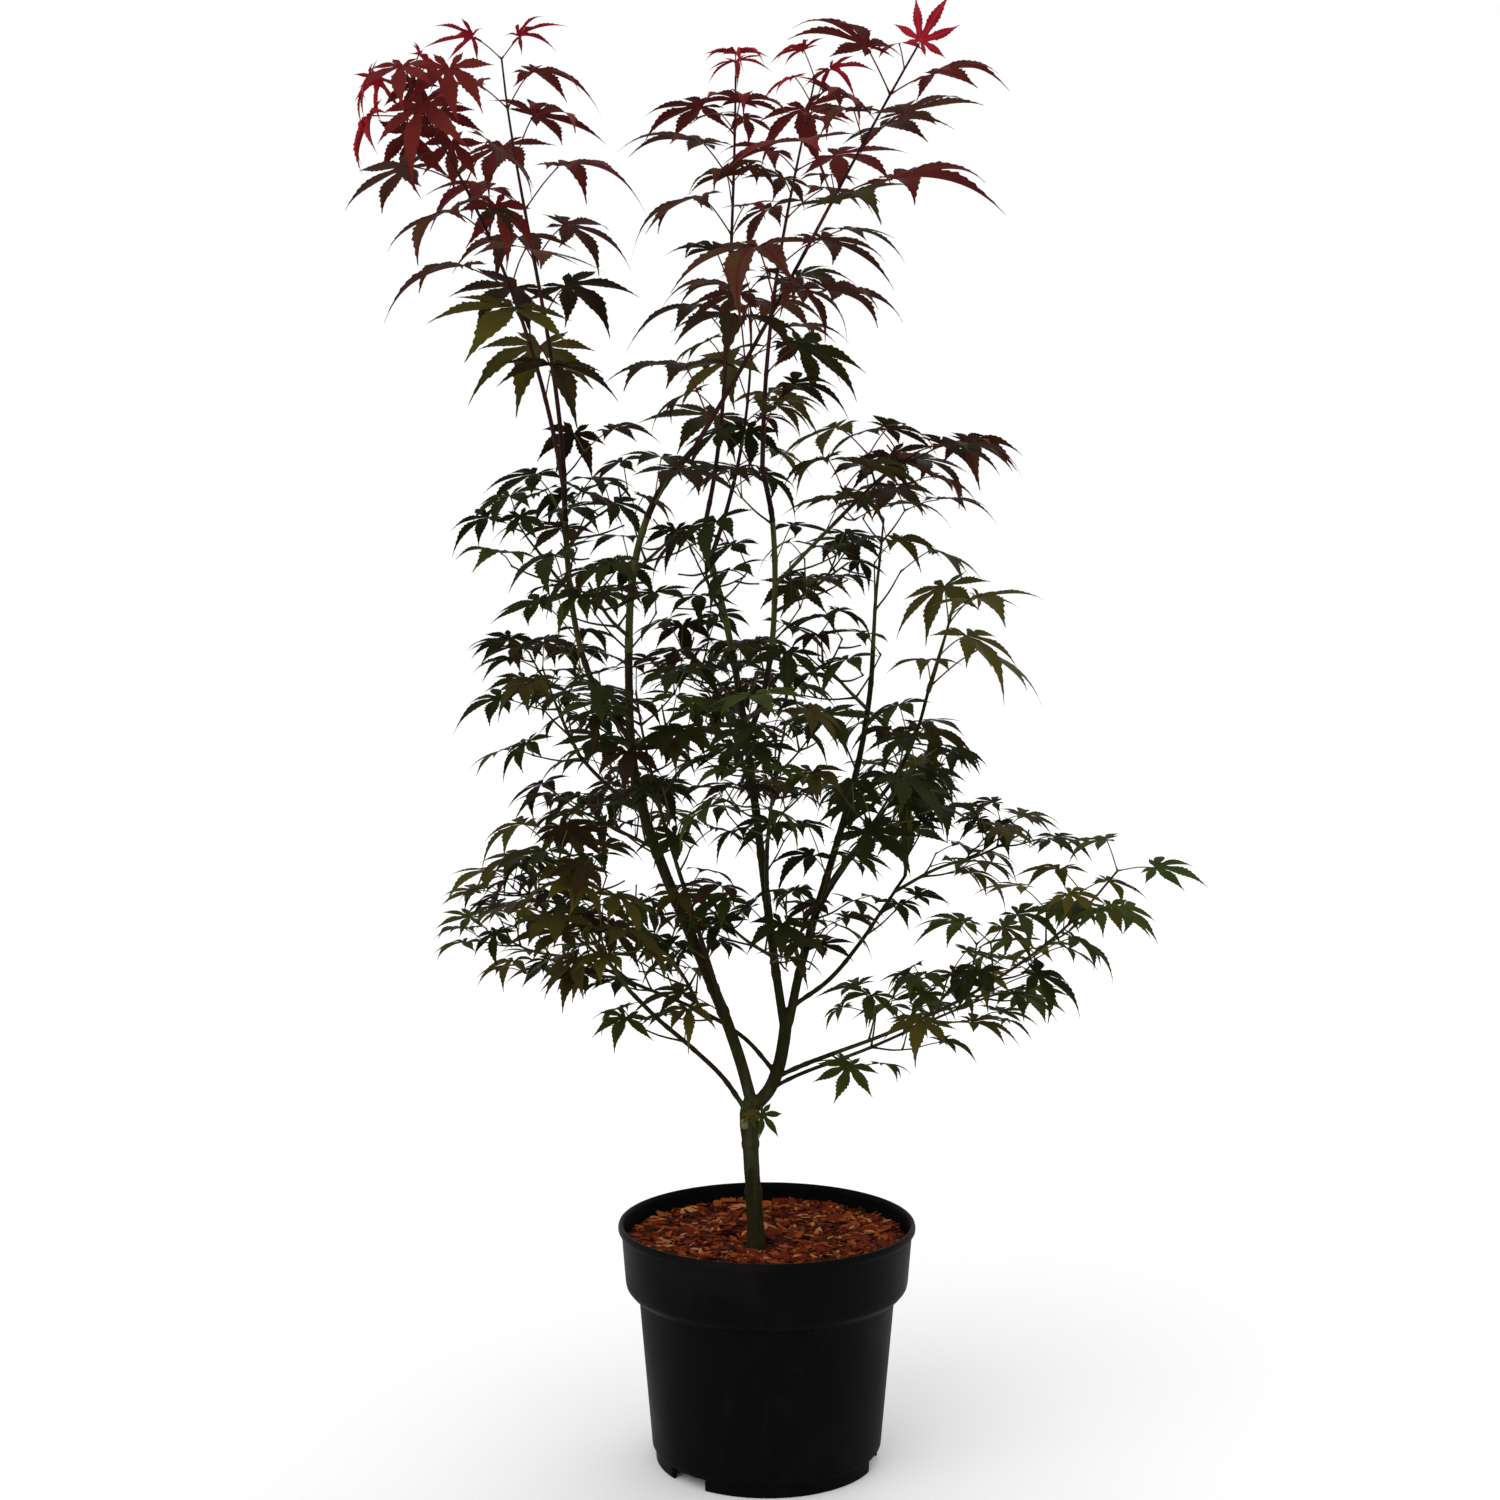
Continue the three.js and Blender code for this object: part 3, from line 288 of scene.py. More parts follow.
masses = {
    "tall_left_shoot": shoot(
        "left_shoot_stem", 243, 380, (10, 23, 36), (-144, -156), 7, 88, 50, "crimson", 11
    ),
    "tall_left_rear_shoot": shoot(
        "left_shoot_stem", 265, 395, (5, 15, 8), (136, 138), 7, 88, -25, "crimson", 12
    ),
    "top_centre_shoot": shoot(
        "centre_stem", 465, 415, (15, 5, 12), (-24, -88), 8, 83, -25, "crimson", 13
    ),
    "top_rear_shoot": shoot(
        "centre_stem", 440, 325, (36, 32, 30), (60, 96), 6, 78, -10, "maroon", 14
    ),
    "top_back_shoot": shoot(
        "middle_stem", 260, 400, (10, 21, 17), (84, 50), 7, 83, -25, "crimson", 15
    ),
    "top_right_shoot": shoot(
        "left_stem_top", 325, 395, (33, 30, 33), (-12, -22), 7, 91, -45, "crimson", 16
    ),
    "right_crest": spray(
        "rear_right_stem", 375, 115, (2, 14, 6), (68, 56), 2, 54, 48, "bronze", 21
    ),
    "inner_right_tip": spray(
        "inner_right", 100, 135, (63, 63, 74), (-59, -52), 3, 46, 55, "maroon", 22
    ),
    "right_fan_tip": shoot("right_fan", 180, 75, (20, 21, 21), (-38, -52), 2, 78, 0, "bronze", 23),
    "low_right_front_tip": spray(
        "low_right_front", 66, 324, (68, 57, 36), (-21, -24), 7, 48, 47, "green", 24
    ),
    "low_right_rear_tip": spray(
        "low_right_rear", 66, 224, (79, 72, 80), (27, 20), 5, 48, 45, "green", 25, (9, 0, 74)
    ),
    "right_arch_rise": spray(
        "right_arch", 196, 85, (40, 10, 40), (70, 110), 2, 48, 41, "bronze", 26
    ),
    "right_arch_reach": spray(
        "right_arch", 172, 150, (52, 76, 57), (16, 26), 3, 48, 41, "bronze", 27
    ),
    "low_left_front_tip": spray(
        "low_left_front", 190, 155, (42, 36, 31), (-136, -120), 3, 52, 44, "bronze", 28
    ),
    "low_left_rear_tip": spray(
        "low_left_rear", 210, 115, (66, 84, 60), (166, 150), 2, 46, 43, "green", 29
    ),
    "low_left_rear_rise": spray(
        "low_left_rear", 180, 150, (46, 50, 40), (-160, -150), 3, 50, 44, "bronze", 30
    ),
    "left_fan_tip": spray("left_fan", 95, 112, (46, 44, 44), (126, 116), 3, 46, 46, "dark", 31),
    "left_side_low": spray(
        "left_shoot_stem", 150, 72, (58, 54, 60), (-128, -108), 2, 44, 46, "dark", 32
    ),
    "left_side_high": spray(
        "left_shoot_stem", 190, 90, (56, 62, 70), (70, 56), 2, 46, 44, "dark", 33
    ),
    "upper_left_front": spray(
        "left_stem_top", 140, 125, (74, 66, 70), (-112, -96), 3, 50, 46, "dark", 34
    ),
    "upper_left_back": spray(
        "left_stem_top", 200, 120, (68, 70, 74), (66, 76), 3, 50, 46, "dark", 35
    ),
    "left_side": spray("left_stem", 262, 125, (72, 76, 80), (140, 126), 3, 50, 46, "dark", 36),
    "front_left_tip": spray(
        "front_left_stem", 165, 200, (28, 32, 50), (-125, -92), 5, 54, 46, "dark", 37
    ),
    "front_tip": spray("front_bough", 125, 190, (62, 51, 49), (-89, -80), 4, 54, 46, "dark", 38),
    "front_right_tip": spray(
        "front_right", 105, 155, (57, 52, 52), (-70, -66), 3, 54, 46, "dark", 39
    ),
    "rear_tip": spray("rear_bough", 120, 185, (72, 60, 39), (96, 112), 4, 56, 46, "dark", 40),
    "rear_left_tip": spray("rear_left", 115, 160, (67, 60, 60), (104, 112), 3, 54, 46, "dark", 41),
    "rear_right_tip": spray("rear_right", 125, 165, (71, 64, 60), (66, 60), 3, 54, 46, "dark", 42),
    "centre_front": spray(
        "centre_stem", 385, 135, (72, 68, 76), (-106, -88), 3, 52, 48, "dark", 43
    ),
    "centre_back": spray("centre_stem", 285, 145, (64, 68, 74), (108, 112), 3, 52, 46, "dark", 44),
    "middle_side": spray("middle_stem", 125, 125, (70, 66, 72), (42, 60), 3, 50, 48, "dark", 45),
    "right_side": spray(
        "rear_right_stem", 305, 130, (66, 66, 74), (-120, -110), 3, 50, 46, "dark", 46
    ),
    "inner_low": spray("centre_stem", 60, 145, (68, 60, 70), (-130, -112), 3, 50, 45, "dark", 48),
    "low_left_inner": spray(
        "low_left_rear", 95, 125, (30, 42, 50), (140, 170), 3, 50, 46, "green", 49
    ),
    "centre_low": spray(
        "rear_right_stem", 50, 120, (55, 61, 67), (-96, -100), 3, 48, 44, "dark", 47
    ),
}

# The rule that every mass follows: radii of its stem and twigs, where its first and last
# nodes stand as shares of its length, and how its leaves stand off, droop and keep clear.
STEM_RADII = (1.9, 0.9)
SHOOT_RADII = (2.3, 0.9)
TWIG_RADII = (1.1, 0.7)
SPRAY_BARE = 0.22
SHOOT_BARE = 0.07
SPRAY_LAST = 0.8
SHOOT_LAST = 0.88
CLOSING = 0.92
SHOOT_PETIOLE = 0.68
SPRAY_PETIOLE = 0.7
TWIG_SPREAD = 52
TWIG_LIFT = 0.12
TWIG_BEND = 0.2
PETIOLE_SPREAD = 58
LIFT = 0.3
DROOP = 20
SPACE_MARGIN = 2.4
LIMB_MARGIN = 0.1
CROWDING = 0.28
LOWEST_STALK = 0.12

# How far a leaf's size, spread, petiole, droop and roll stray from the rule, from end to end.
SIZE_PLAY = 0.24
SPREAD_PLAY = 20
PETIOLE_PLAY = 0.3
DROOP_PLAY = 46
ROLL_PLAY = 50

# A leaf's five chief lobes: angle from the middle lobe, length as a share of the blade, and
# how far the tip hangs below the leaf's middle.
LOBES = ((-88, 0.6, 0.14), (-43, 0.88, 0.18), (0, 1, 0.2), (43, 0.88, 0.18), (88, 0.6, 0.14))

# A leaf that doesn't fit is tried again turned about its stem and made smaller.
ATTEMPTS = ((0, 1), (28, 0.92), (-28, 0.92), (60, 0.82), (-60, 0.82), (0, 0.7))


# ---- Lines and small helpers --------------------------------------------------------------


def mix(first, last, share):
    """The value at a share of the way from the first to the last."""
    return first + (last - first) * share


def cos(degrees):
    return math.cos(math.radians(degrees))


def sin(degrees):
    return math.sin(math.radians(degrees))


def unit(vector):
    """The vector's direction, one long."""
    return vector / np.linalg.norm(vector)


def low_product(first, second):
    """The low 32 bits of a product."""
    return (first * second) & 0xFFFFFFFF


def seeded_random(seed):
    """The same run of numbers from 0 to 1 for the same seed."""
    state = seed

    def draw():
        nonlocal state
        state = (state + 0x6D2B79F5) & 0xFFFFFFFF
        value = low_product(state ^ (state >> 15), state | 1)
        value = ((value + low_product(value ^ (value >> 7), value | 61)) & 0xFFFFFFFF) ^ value
        return ((value ^ (value >> 14)) & 0xFFFFFFFF) / 4294967296

    return draw


class CentreLine:
    """The centre line of a limb: lean and heading change smoothly from its foot to its tip."""

    def __init__(self, foot, spec, steps):
        self.length = spec.length
        self.points = [np.array(foot, float)]
        self.tangents = []
        for step in range(steps):
            share = (step + 0.5) / steps
            lean = (
                spec.lean[0] * (1 - share) * (1 - 2 * share)
                + spec.lean[1] * 4 * share * (1 - share)
                + spec.lean[2] * share * (2 * share - 1)
            )
            heading = mix(spec.heading[0], spec.heading[1], share)
            direction = np.array(
                (sin(lean) * cos(heading), sin(lean) * sin(heading), cos(lean))
            )
            self.tangents.append(direction)
            self.points.append(self.points[-1] + direction * spec.length / steps)
        self.points = np.array(self.points)

    def point(self, distance):
        steps = len(self.tangents)
        place = min(max(distance / self.length * steps, 0), steps - 1e-6)
        step = int(place)
        return mix(self.points[step], self.points[step + 1], place - step)

    def direction(self, distance):
        steps = len(self.tangents)
        return self.tangents[min(max(int(distance / self.length * steps), 0), steps - 1)]


def foot_of(lines, spec):
    """Where a limb or a mass leaves its parent."""
    foot = lines[spec.parent].point(spec.at).copy()
    if spec.aside:
        foot[0] += spec.aside * cos(spec.heading[0])
        foot[1] += spec.aside * sin(spec.heading[0])
    return foot


def limb_lines():
    """The centre lines of the trunk and the boughs, by name."""
    lines = {"trunk": CentreLine(TRUNK_FOOT, trunk, 24)}
    for name, spec in boughs.items():
        steps = max(4, int(spec.length / 45 + 0.5))
        lines[name] = CentreLine(foot_of(lines, spec), spec, steps)
    return lines


def stem_lines(limbs):
    """The centre lines of the masses' stems, by name."""
    return {
        name: CentreLine(foot_of(limbs, spec), spec, max(3, int(spec.length / 45 + 0.5)))
        for name, spec in masses.items()
    }


def distances(points, starts, runs):
    """The distance from each point to each straight run."""
    away = points[:, None, :] - starts[None, :, :]
    share = np.clip((away * runs).sum(2) / (runs * runs).sum(1), 0, 1)
    return np.linalg.norm(away - share[:, :, None] * runs, axis=2)


class Space:
    """The stems and the limbs that leaves keep clear of."""

    def __init__(self, limbs, stems):
        self.names = list(stems)
        lines = [stems[name].points for name in self.names]
        self.owner = np.concatenate([[index] * (len(line) - 1) for index, line in enumerate(lines)])
        self.starts = np.concatenate([line[:-1] for line in lines])
        self.runs = np.concatenate([np.diff(line, axis=0) for line in lines])
        limb_points = [line.points for line in limbs.values()]
        widest = [
            max(radius for _, radius in trunk.profile) if name == "trunk" else max(boughs[name].radii)
            for name in limbs
        ]
        self.limb_starts = np.concatenate([points[:-1] for points in limb_points])
        self.limb_runs = np.concatenate([np.diff(points, axis=0) for points in limb_points])
        self.limb_radii = np.concatenate(
            [[radius] * (len(points) - 1) for radius, points in zip(widest, limb_points)]
        )

    def fits(self, name, samples, limb_gap):
        """True where every point is nearest to its own stem and clear of the limbs."""
        gaps = distances(samples, self.limb_starts, self.limb_runs)
        if (gaps <= self.limb_radii + limb_gap).any():
            return False
        if name is None:
            return True
        own = self.owner == self.names.index(name)
        gaps = distances(samples, self.starts, self.runs)
        return bool((gaps[:, ~own].min(1) > gaps[:, own].min(1) + SPACE_MARGIN).all())


class Strands:
    """What is already placed: runs of twigs, stalks and lobes, each with a width."""

    def __init__(self):
        self.starts = np.zeros((0, 3))
        self.runs = np.zeros((0, 3))
        self.widths = np.zeros(0)

    def add(self, line, width):
        line = np.array(line)
        self.starts = np.concatenate([self.starts, line[:-1]])
        self.runs = np.concatenate([self.runs, np.diff(line, axis=0)])
        self.widths = np.concatenate([self.widths, [width] * (len(line) - 1)])

    def join(self, other):
        self.starts = np.concatenate([self.starts, other.starts])
        self.runs = np.concatenate([self.runs, other.runs])
        self.widths = np.concatenate([self.widths, other.widths])

    def clear(self, samples, size):
        """True where the points keep clear of all that is placed."""
        low = samples.min(0) - 40
        high = samples.max(0) + 40
        near = ((self.starts > low - 40) & (self.starts < high + 40)).all(1)
        if not near.any():
            return True
        gaps = distances(samples, self.starts[near], self.runs[near])
        return not (gaps <= self.widths[near] + 0.08 * size).any()


# ---- Twigs and leaves: where they grow ----------------------------------------------------

# Where a leaf or a twig grows. Share is the place along the mass, from its foot to its tip.
Leaf = namedtuple("Leaf", "root forward face size start share spray tone mass")
Twig = namedtuple("Twig", "points radii")


def square_to(direction):
    """The two directions square to a stem: one level, one leaning up."""
    level = np.cross(direction, UP)
    if np.linalg.norm(level) < 0.2:
        level = np.array((0.0, -1.0, 0.0)) + direction * direction[1]
    level = unit(level)
    return level, np.cross(level, direction)


def sideways(direction, turn, spread, lift):
    """The way out of a stem: turned about it, spread away from it and lifted a little."""
    level, rising = square_to(direction)
    out = level * cos(turn) + rising * sin(turn)
    return unit(direction * cos(spread) + out * sin(spread) + UP * lift)


def turned_about(vector, axis, degrees):
    """The vector turned about an axis."""
    return (
        vector * cos(degrees)
        + np.cross(axis, vector) * sin(degrees)
        + axis * axis.dot(vector) * (1 - cos(degrees))
    )


def leaf_axes(heading, droop, roll):
    """A leaf's forward, left and face directions."""
    flat = unit(np.array((heading[0], heading[1], 0.0)))
    forward = flat * cos(droop) - UP * sin(droop)
    face = turned_about(flat * sin(droop) + UP * cos(droop), forward, roll)
    return forward, np.cross(face, forward), face


def lobe_point(root, axes, size, lobe, share):
    """A point on a lobe's middle line, at a share of its length."""
    angle, reach, hang = lobe
    forward, left, face = axes
    x = cos(angle) * reach * share
    y = sin(angle) * reach * share
    return root + size * (forward * x + left * y - face * hang * share * share)


class Grower:
    """Grows twigs and leaves by the seeded rule, in one mass or all over the plant."""

    def __init__(self, space, name, spec, random, strands):
        self.space = space
        self.name = name
        self.spec = spec
        self.random = random
        self.strands = strands
        self.leaves = []
        self.twigs = []
        self.roots = np.zeros((0, 4))
        self.share = 0
        self.spray = 0
        self.inside = name

    def leaf(self, start, direction, turn, scale, droop, reach=1.0, spread=PETIOLE_SPREAD, lift=LIFT):
        """Places one leaf where it first fits, or none."""
        jitter = [self.random() - 0.5 for _ in range(4)]
        share = SHOOT_PETIOLE if self.spec.kind == "shoot" else SPRAY_PETIOLE
        for swing, shrink in ATTEMPTS:
            size = self.spec.blade * scale * shrink * (1 + SIZE_PLAY * jitter[0])
            out = sideways(direction, turn + swing, spread + SPREAD_PLAY * jitter[1], lift)
            if out[2] < LOWEST_STALK:
                out[2] = LOWEST_STALK
                out = unit(out)
            petiole = size * share * reach * (1 + PETIOLE_PLAY * jitter[2])
            root = start + out * petiole
            axes = leaf_axes(out, droop + DROOP_PLAY * jitter[3], ROLL_PLAY * jitter[2])
            near = np.linalg.norm(self.roots[:, :3] - root, axis=1)
            if (near < CROWDING * (self.roots[:, 3] + size)).any():
                continue
            samples = np.array(
                [root]
                + [
                    lobe_point(root, axes, size, lobe, step / 5)
                    for lobe in LOBES
                    for step in range(1, 6)
                ]
            )
            stalk = np.array((start + out * petiole * 0.4, start + out * petiole * 0.7))
            if not (self.strands.clear(samples, size) and self.strands.clear(stalk, 0)):
                continue
            if not self.space.fits(self.inside, np.concatenate([samples, stalk]), LIMB_MARGIN * size):
                continue
            self.roots = np.concatenate([self.roots, [[*root, size]]])
            self.strands.add([start + out * petiole * 0.3, root], 1.2)
            for lobe in LOBES:
                middle = lobe_point(root, axes, size, lobe, 0.6)
                tip = lobe_point(root, axes, size, lobe, 1)
                self.strands.add([root, middle, tip], 0.09 * size)
            forward, _, face = axes
            self.leaves.append(
                Leaf(
                    root, forward, face, size, start,
                    self.share, self.spray, self.spec.tone, self.name,
                )
            )
            return

    def twig(self, start, direction, turn, length, scale=1.0, spread=TWIG_SPREAD):
        """Places a side twig with a pair of leaves at its tip, or returns None."""
        jitter = [self.random() - 0.5, self.random() - 0.5]
        for swing in (0, 34, -34):
            out = sideways(direction, turn + swing, spread + 16 * jitter[0], TWIG_LIFT)
            bent = unit(out + UP * TWIG_BEND)
            middle = start + out * length * 0.5
            tip = middle + bent * length * 0.5
            samples = np.array((start + out * length * 0.25, middle, tip))
            if self.space.fits(self.inside, samples, 2.5) and self.strands.clear(samples, 0):
                self.strands.add([start + out * length * 0.2, middle, tip], 1.4)
                self.spray += 1
                for side in (0, 180):
                    self.leaf(tip, bent, side + 20 * jitter[1], scale, DROOP)
                thick, thin = TWIG_RADII
                thick *= mix(0.6, 1, scale) if scale < 1 else 1
                radii = [thick, mix(thick, thin, 0.5), thin * 0.9]
                self.twigs.append(Twig([start, middle, tip], radii))
                return out, middle, tip, bent
        return None


def grow_mass(space, name, stem):
    """Grows a mass as the solids have it: its stem with leaves or side twigs at each node."""
    spec = masses[name]
    strands = Strands()
    strands.add(stem.points, 1.6)
    grower = Grower(space, name, spec, seeded_random(spec.seed), strands)
    is_shoot = spec.kind == "shoot"
    nodes = []
    twigs = []
    if spec.single:
        distance, turn, droop = spec.single
        grower.leaf(stem.point(distance), stem.direction(distance), turn, 1.15, droop)
        nodes.append(distance)
    for pair in range(spec.pairs):
        bare = SHOOT_BARE if is_shoot else SPRAY_BARE
        last = SHOOT_LAST if is_shoot else SPRAY_LAST
        share = mix(bare, last, (pair / (spec.pairs - 1)) ** CLOSING)
        distance = share * spec.length
        place = stem.point(distance)
        direction = stem.direction(distance)
        steep = is_shoot or direction[2] > 0.75
        wander = grower.random()
        if steep:
            turn = 90 * pair + 50 * wander + 20
        else:
            turn = (24 if pair % 2 else -24) + 30 * wander - 15
        grower.share = share
        grower.spray += 1
        for side in (0, 180):
            if is_shoot:
                droop = DROOP + spec.nod * share * share
                grower.leaf(place, direction, turn + side, 1 - 0.3 * share * share, droop)
            else:
                length = spec.twig * (1.1 - 0.45 * share) * (0.85 + 0.3 * grower.random())
                twigs.append(grower.twig(place, direction, turn + side, length))
        nodes.append(distance)
    grower.share = 1
    grower.spray += 1
    scale, droop = (0.5, DROOP + spec.nod) if is_shoot else (0.95, DROOP)
    for side in (0, 180):
        grower.leaf(
            stem.points[-1], stem.tangents[-1], 90 * spec.pairs + side, scale, droop
        )
    nodes.append(spec.length)
    return grower, nodes, [twig for twig in twigs if twig]


# How freely the foliage is carried on to finer twigs, against the usual, by mass or by tone.
FINER = {
    "tall_left_shoot": 0.4,
    "tall_left_rear_shoot": 0.8,
    "top_centre_shoot": 2.0,
    "top_rear_shoot": 1.8,
    "top_back_shoot": 2.0,
    "top_right_shoot": 1.5,
    "left_side_low": 0.4,
    "left_side_high": 0.4,
    "upper_left_front": 0.4,
    "upper_left_back": 0.4,
    "right_crest": 0.1,
    "inner_right_tip": 0.3,
    "low_left_front_tip": 1.7,
    "low_left_rear_tip": 1.5,
    "low_left_rear_rise": 1.7,
    "left_fan_tip": 1.4,
    "low_left_inner": 1.5,
    "inner_low": 1.4,
    "centre_low": 1.4,
    "green": 0.15,
    "dark": 0.75,
}

# The shoot that ends in one open leaf, held up on its own.
OPEN_TIP = "top_right_shoot"
OPEN_TIP_SIZE = 38


def grow_finer(grower, stem, nodes, twigs, fineness):
    """Carries a mass on to finer twigs, within its own space."""
    spec = grower.spec
    grower.random = seeded_random(spec.seed + 500)
    fineness *= FINER.get(grower.name, FINER.get(spec.tone, 1))
    if spec.kind == "shoot":
        for before, after in zip(nodes, nodes[1:]):
            for distance, scale in (((before + after) / 2, 0.86), (before + 3, 0.66)):
                share = distance / spec.length
                grower.share = share
                grower.spray += 1
                turn = 360 * grower.random()
                droop = DROOP + spec.nod * share * share
                for side in (0, 180):
                    place = stem.point(distance)
                    size = scale * (1 - 0.3 * share * share)
                    if grower.random() < fineness * mix(0.8, 0.9, share):
                        grower.leaf(place, stem.direction(distance), turn + side, size, droop)
        if spec.nod > 0:
            grow_hanging_tuft(grower, stem)
        if grower.name == OPEN_TIP:
            open_tip_leaf(grower, stem)
        return
    for out, middle, tip, bent in twigs:
        grower.spray += 1
        for side in (90, 270):
            if grower.random() < fineness:
                grower.leaf(middle, out, side + 40 * grower.random() - 20, 0.94, DROOP)
        for side in (35, 215):
            if grower.random() < 0.8 * fineness:
                grower.twig(mix(middle, tip, 0.45), bent, side, 0.42 * spec.twig, 0.84, 62)
    stops = [0, *nodes]
    for before, after in zip(stops, stops[1:]):
        middle = (before + after) / 2
        grower.share = middle / spec.length
        turn = 60 + 60 * grower.random()
        for side in (0, 180):
            if grower.random() < fineness:
                length = 0.62 * spec.twig * (0.85 + 0.3 * grower.random())
                place = stem.point(middle)
                grower.twig(place, stem.direction(middle), turn + side, length, 0.92)


def open_tip_leaf(grower, stem):
    """Puts one upright leaf, facing the front, in place of the pair at the shoot's tip."""
    grower.leaves = [leaf for leaf in grower.leaves if leaf.share < 1]
    tip = stem.points[-1]
    forward = unit(np.array((0.50, -0.10, 0.86)))
    face = unit(np.cross(forward, (0.86, 0.15, -0.5)))
    root = tip + 3 * unit(stem.tangents[-1] + forward)
    grower.leaves.append(
        Leaf(
            root, forward, face, OPEN_TIP_SIZE, tip,
            0.99, grower.spray, grower.spec.tone, grower.name,
        )
    )


def grow_hanging_tuft(grower, stem):
    """The bunch of leaves that hangs out from a nodding shoot's tip, packed closely."""
    spec = grower.spec
    grower.strands = Strands()
    grower.roots = np.zeros((0, 4))
    grower.spray += 1
    outward = unit(stem.direction(spec.length) * (1, 1, 0) + UP * 0.35)
    for step in range(6):
        grower.share = 0.95 if step % 3 == 2 else 0.8
        place = stem.point(spec.length * mix(0.84, 1, step / 5))
        size = mix(0.58, 0.44, step / 5)
        grower.leaf(place, outward, 137 * step, size, DROOP + spec.nod, 1.6)


# The boughs that carry leaves on long stalks straight from their bark: from and to, as
# distances along them, and the length of a leaf's blade there.
LEAFY_RUNS = {
    "left_stem": (95, 322, 44),
    "left_stem_top": (20, 325, 48),
    "left_shoot_stem": (30, 265, 50),
    "centre_stem": (60, 465, 47),
    "middle_stem": (25, 260, 50),
    "rear_right_stem": (45, 310, 45),
    "front_left_stem": (40, 165, 44),
    "low_left_front": (70, 190, 43),
    "low_left_rear": (80, 210, 41),
    "left_fan": (20, 95, 44),
    "right_fan": (40, 150, 44),
    "right_arch": (110, 196, 41),
    "low_right_front": (30, 66, 42),
    "inner_right": (20, 100, 47),
    "front_bough": (30, 125, 44),
    "rear_bough": (30, 120, 44),
    "rear_left": (30, 115, 44),
    "rear_right": (30, 125, 44),
    "front_right": (25, 105, 43),
}


def grow_along_boughs(space, limbs, strands, node_gap, fineness):
    """Leaves on long thin stalks, and short twigs, from the nodes of the boughs."""
    growers = []
    for number, (name, (start, stop, blade)) in enumerate(LEAFY_RUNS.items()):
        tone = "green" if name.startswith("low") else "dark"
        spec = spray(name, 0, 1, 0, 0, 0, 44, blade, tone, 0)
        grower = Grower(space, name, spec, seeded_random(900 + number), strands)
        grower.inside = None
        line = limbs[name]
        distance = start
        pair = 0
        while distance < stop:
            grower.share = distance / line.length
            turn = 90 * pair + 60 * grower.random()
            for side in (0, 180):
                grower.spray += 1
                if grower.random() > fineness:
                    continue
                place = line.point(distance)
                direction = line.direction(distance)
                if grower.random() < 0.5:
                    scale = 0.8 + 0.4 * grower.random()
                    grower.leaf(place, direction, turn + side, scale, DROOP, 1.5, 40, 0.1)
                else:
                    length = 30 + 22 * grower.random()
                    grower.twig(place, direction, turn + side, length, 0.9, 48)
            distance += node_gap * (0.62 + 0.3 * grower.random())
            pair += 1
        growers.append(grower)
    return growers


# The sprig at the fork: its place up the trunk, and each leaf's size, foot, pointing and facing.
SPRIG_AT = 136
SPRIG = (
    (25, (8, -7, -1), (0.66, -0.20, -0.72), (0.25, -0.72, 0.64)),
    (15, (1, -8, 1), (0.20, -0.45, -0.87), (-0.30, -0.85, 0.40)),
)


def graft_sprig(limbs):
    """The small leaves that hang from the front of the fork."""
    fork = limbs["trunk"].point(SPRIG_AT)
    leaves = []
    for number, (size, foot, pointing, facing) in enumerate(SPRIG):
        forward = unit(np.array(pointing))
        face = np.array(facing)
        face = unit(face - forward * forward.dot(face))
        start = fork + np.array(foot)
        root = start + 6 * unit(forward + np.array((0, -0.8, 0)))
        leaves.append(Leaf(root, forward, face, size, start, 1, number, "green", "trunk"))
    return leaves


plant = {}


def grown_plant():
    """Grows the whole plant once and keeps it for the operators."""
    if plant:
        return plant
    sizes = bpy.context.scene.maple_leaves
    limbs = limb_lines()
    stems = stem_lines(limbs)
    space = Space(limbs, stems)
    grown = {name: grow_mass(space, name, stems[name]) for name in masses}
    everything = Strands()
    for grower, _, _ in grown.values():
        everything.join(grower.strands)
        grower.strands = everything
    for name, (grower, nodes, twigs) in grown.items():
        grow_finer(grower, stems[name], nodes, twigs, sizes.fineness)
    growers = [grower for grower, _, _ in grown.values()]
    node_gap = bpy.context.scene.maple_bark.node_gap / MM
    growers += grow_along_boughs(space, limbs, everything, node_gap, sizes.fineness)
    plant.update(
        limbs=limbs,
        stems=stems,
        nodes={name: nodes for name, (_, nodes, _) in grown.items()},
        leaves=[leaf for grower in growers for leaf in grower.leaves] + graft_sprig(limbs),
        twigs=[twig for grower in growers for twig in grower.twigs],
    )
    return plant


# ---- Meshes from arrays -------------------------------------------------------------------


class Facets:
    """Points and triangles gathered for one joined mesh, with a place on each point."""

    def __init__(self):
        self.points = []
        self.faces = []
        self.places = []
        self.count = 0

    def add(self, points, faces, places):
        self.points.append(points)
        self.faces.append(faces + self.count)
        self.places.append(places)
        self.count += len(points)


def linked_object(name, data):
    """A new object in the scene."""
    thing = bpy.data.objects.new(name, data)
    bpy.context.scene.collection.objects.link(thing)
    return thing


def applied_mesh(piece):
    """A piece's mesh with its modifiers worked in."""
    return bpy.data.meshes.new_from_object(
        piece.evaluated_get(bpy.context.evaluated_depsgraph_get())
    )


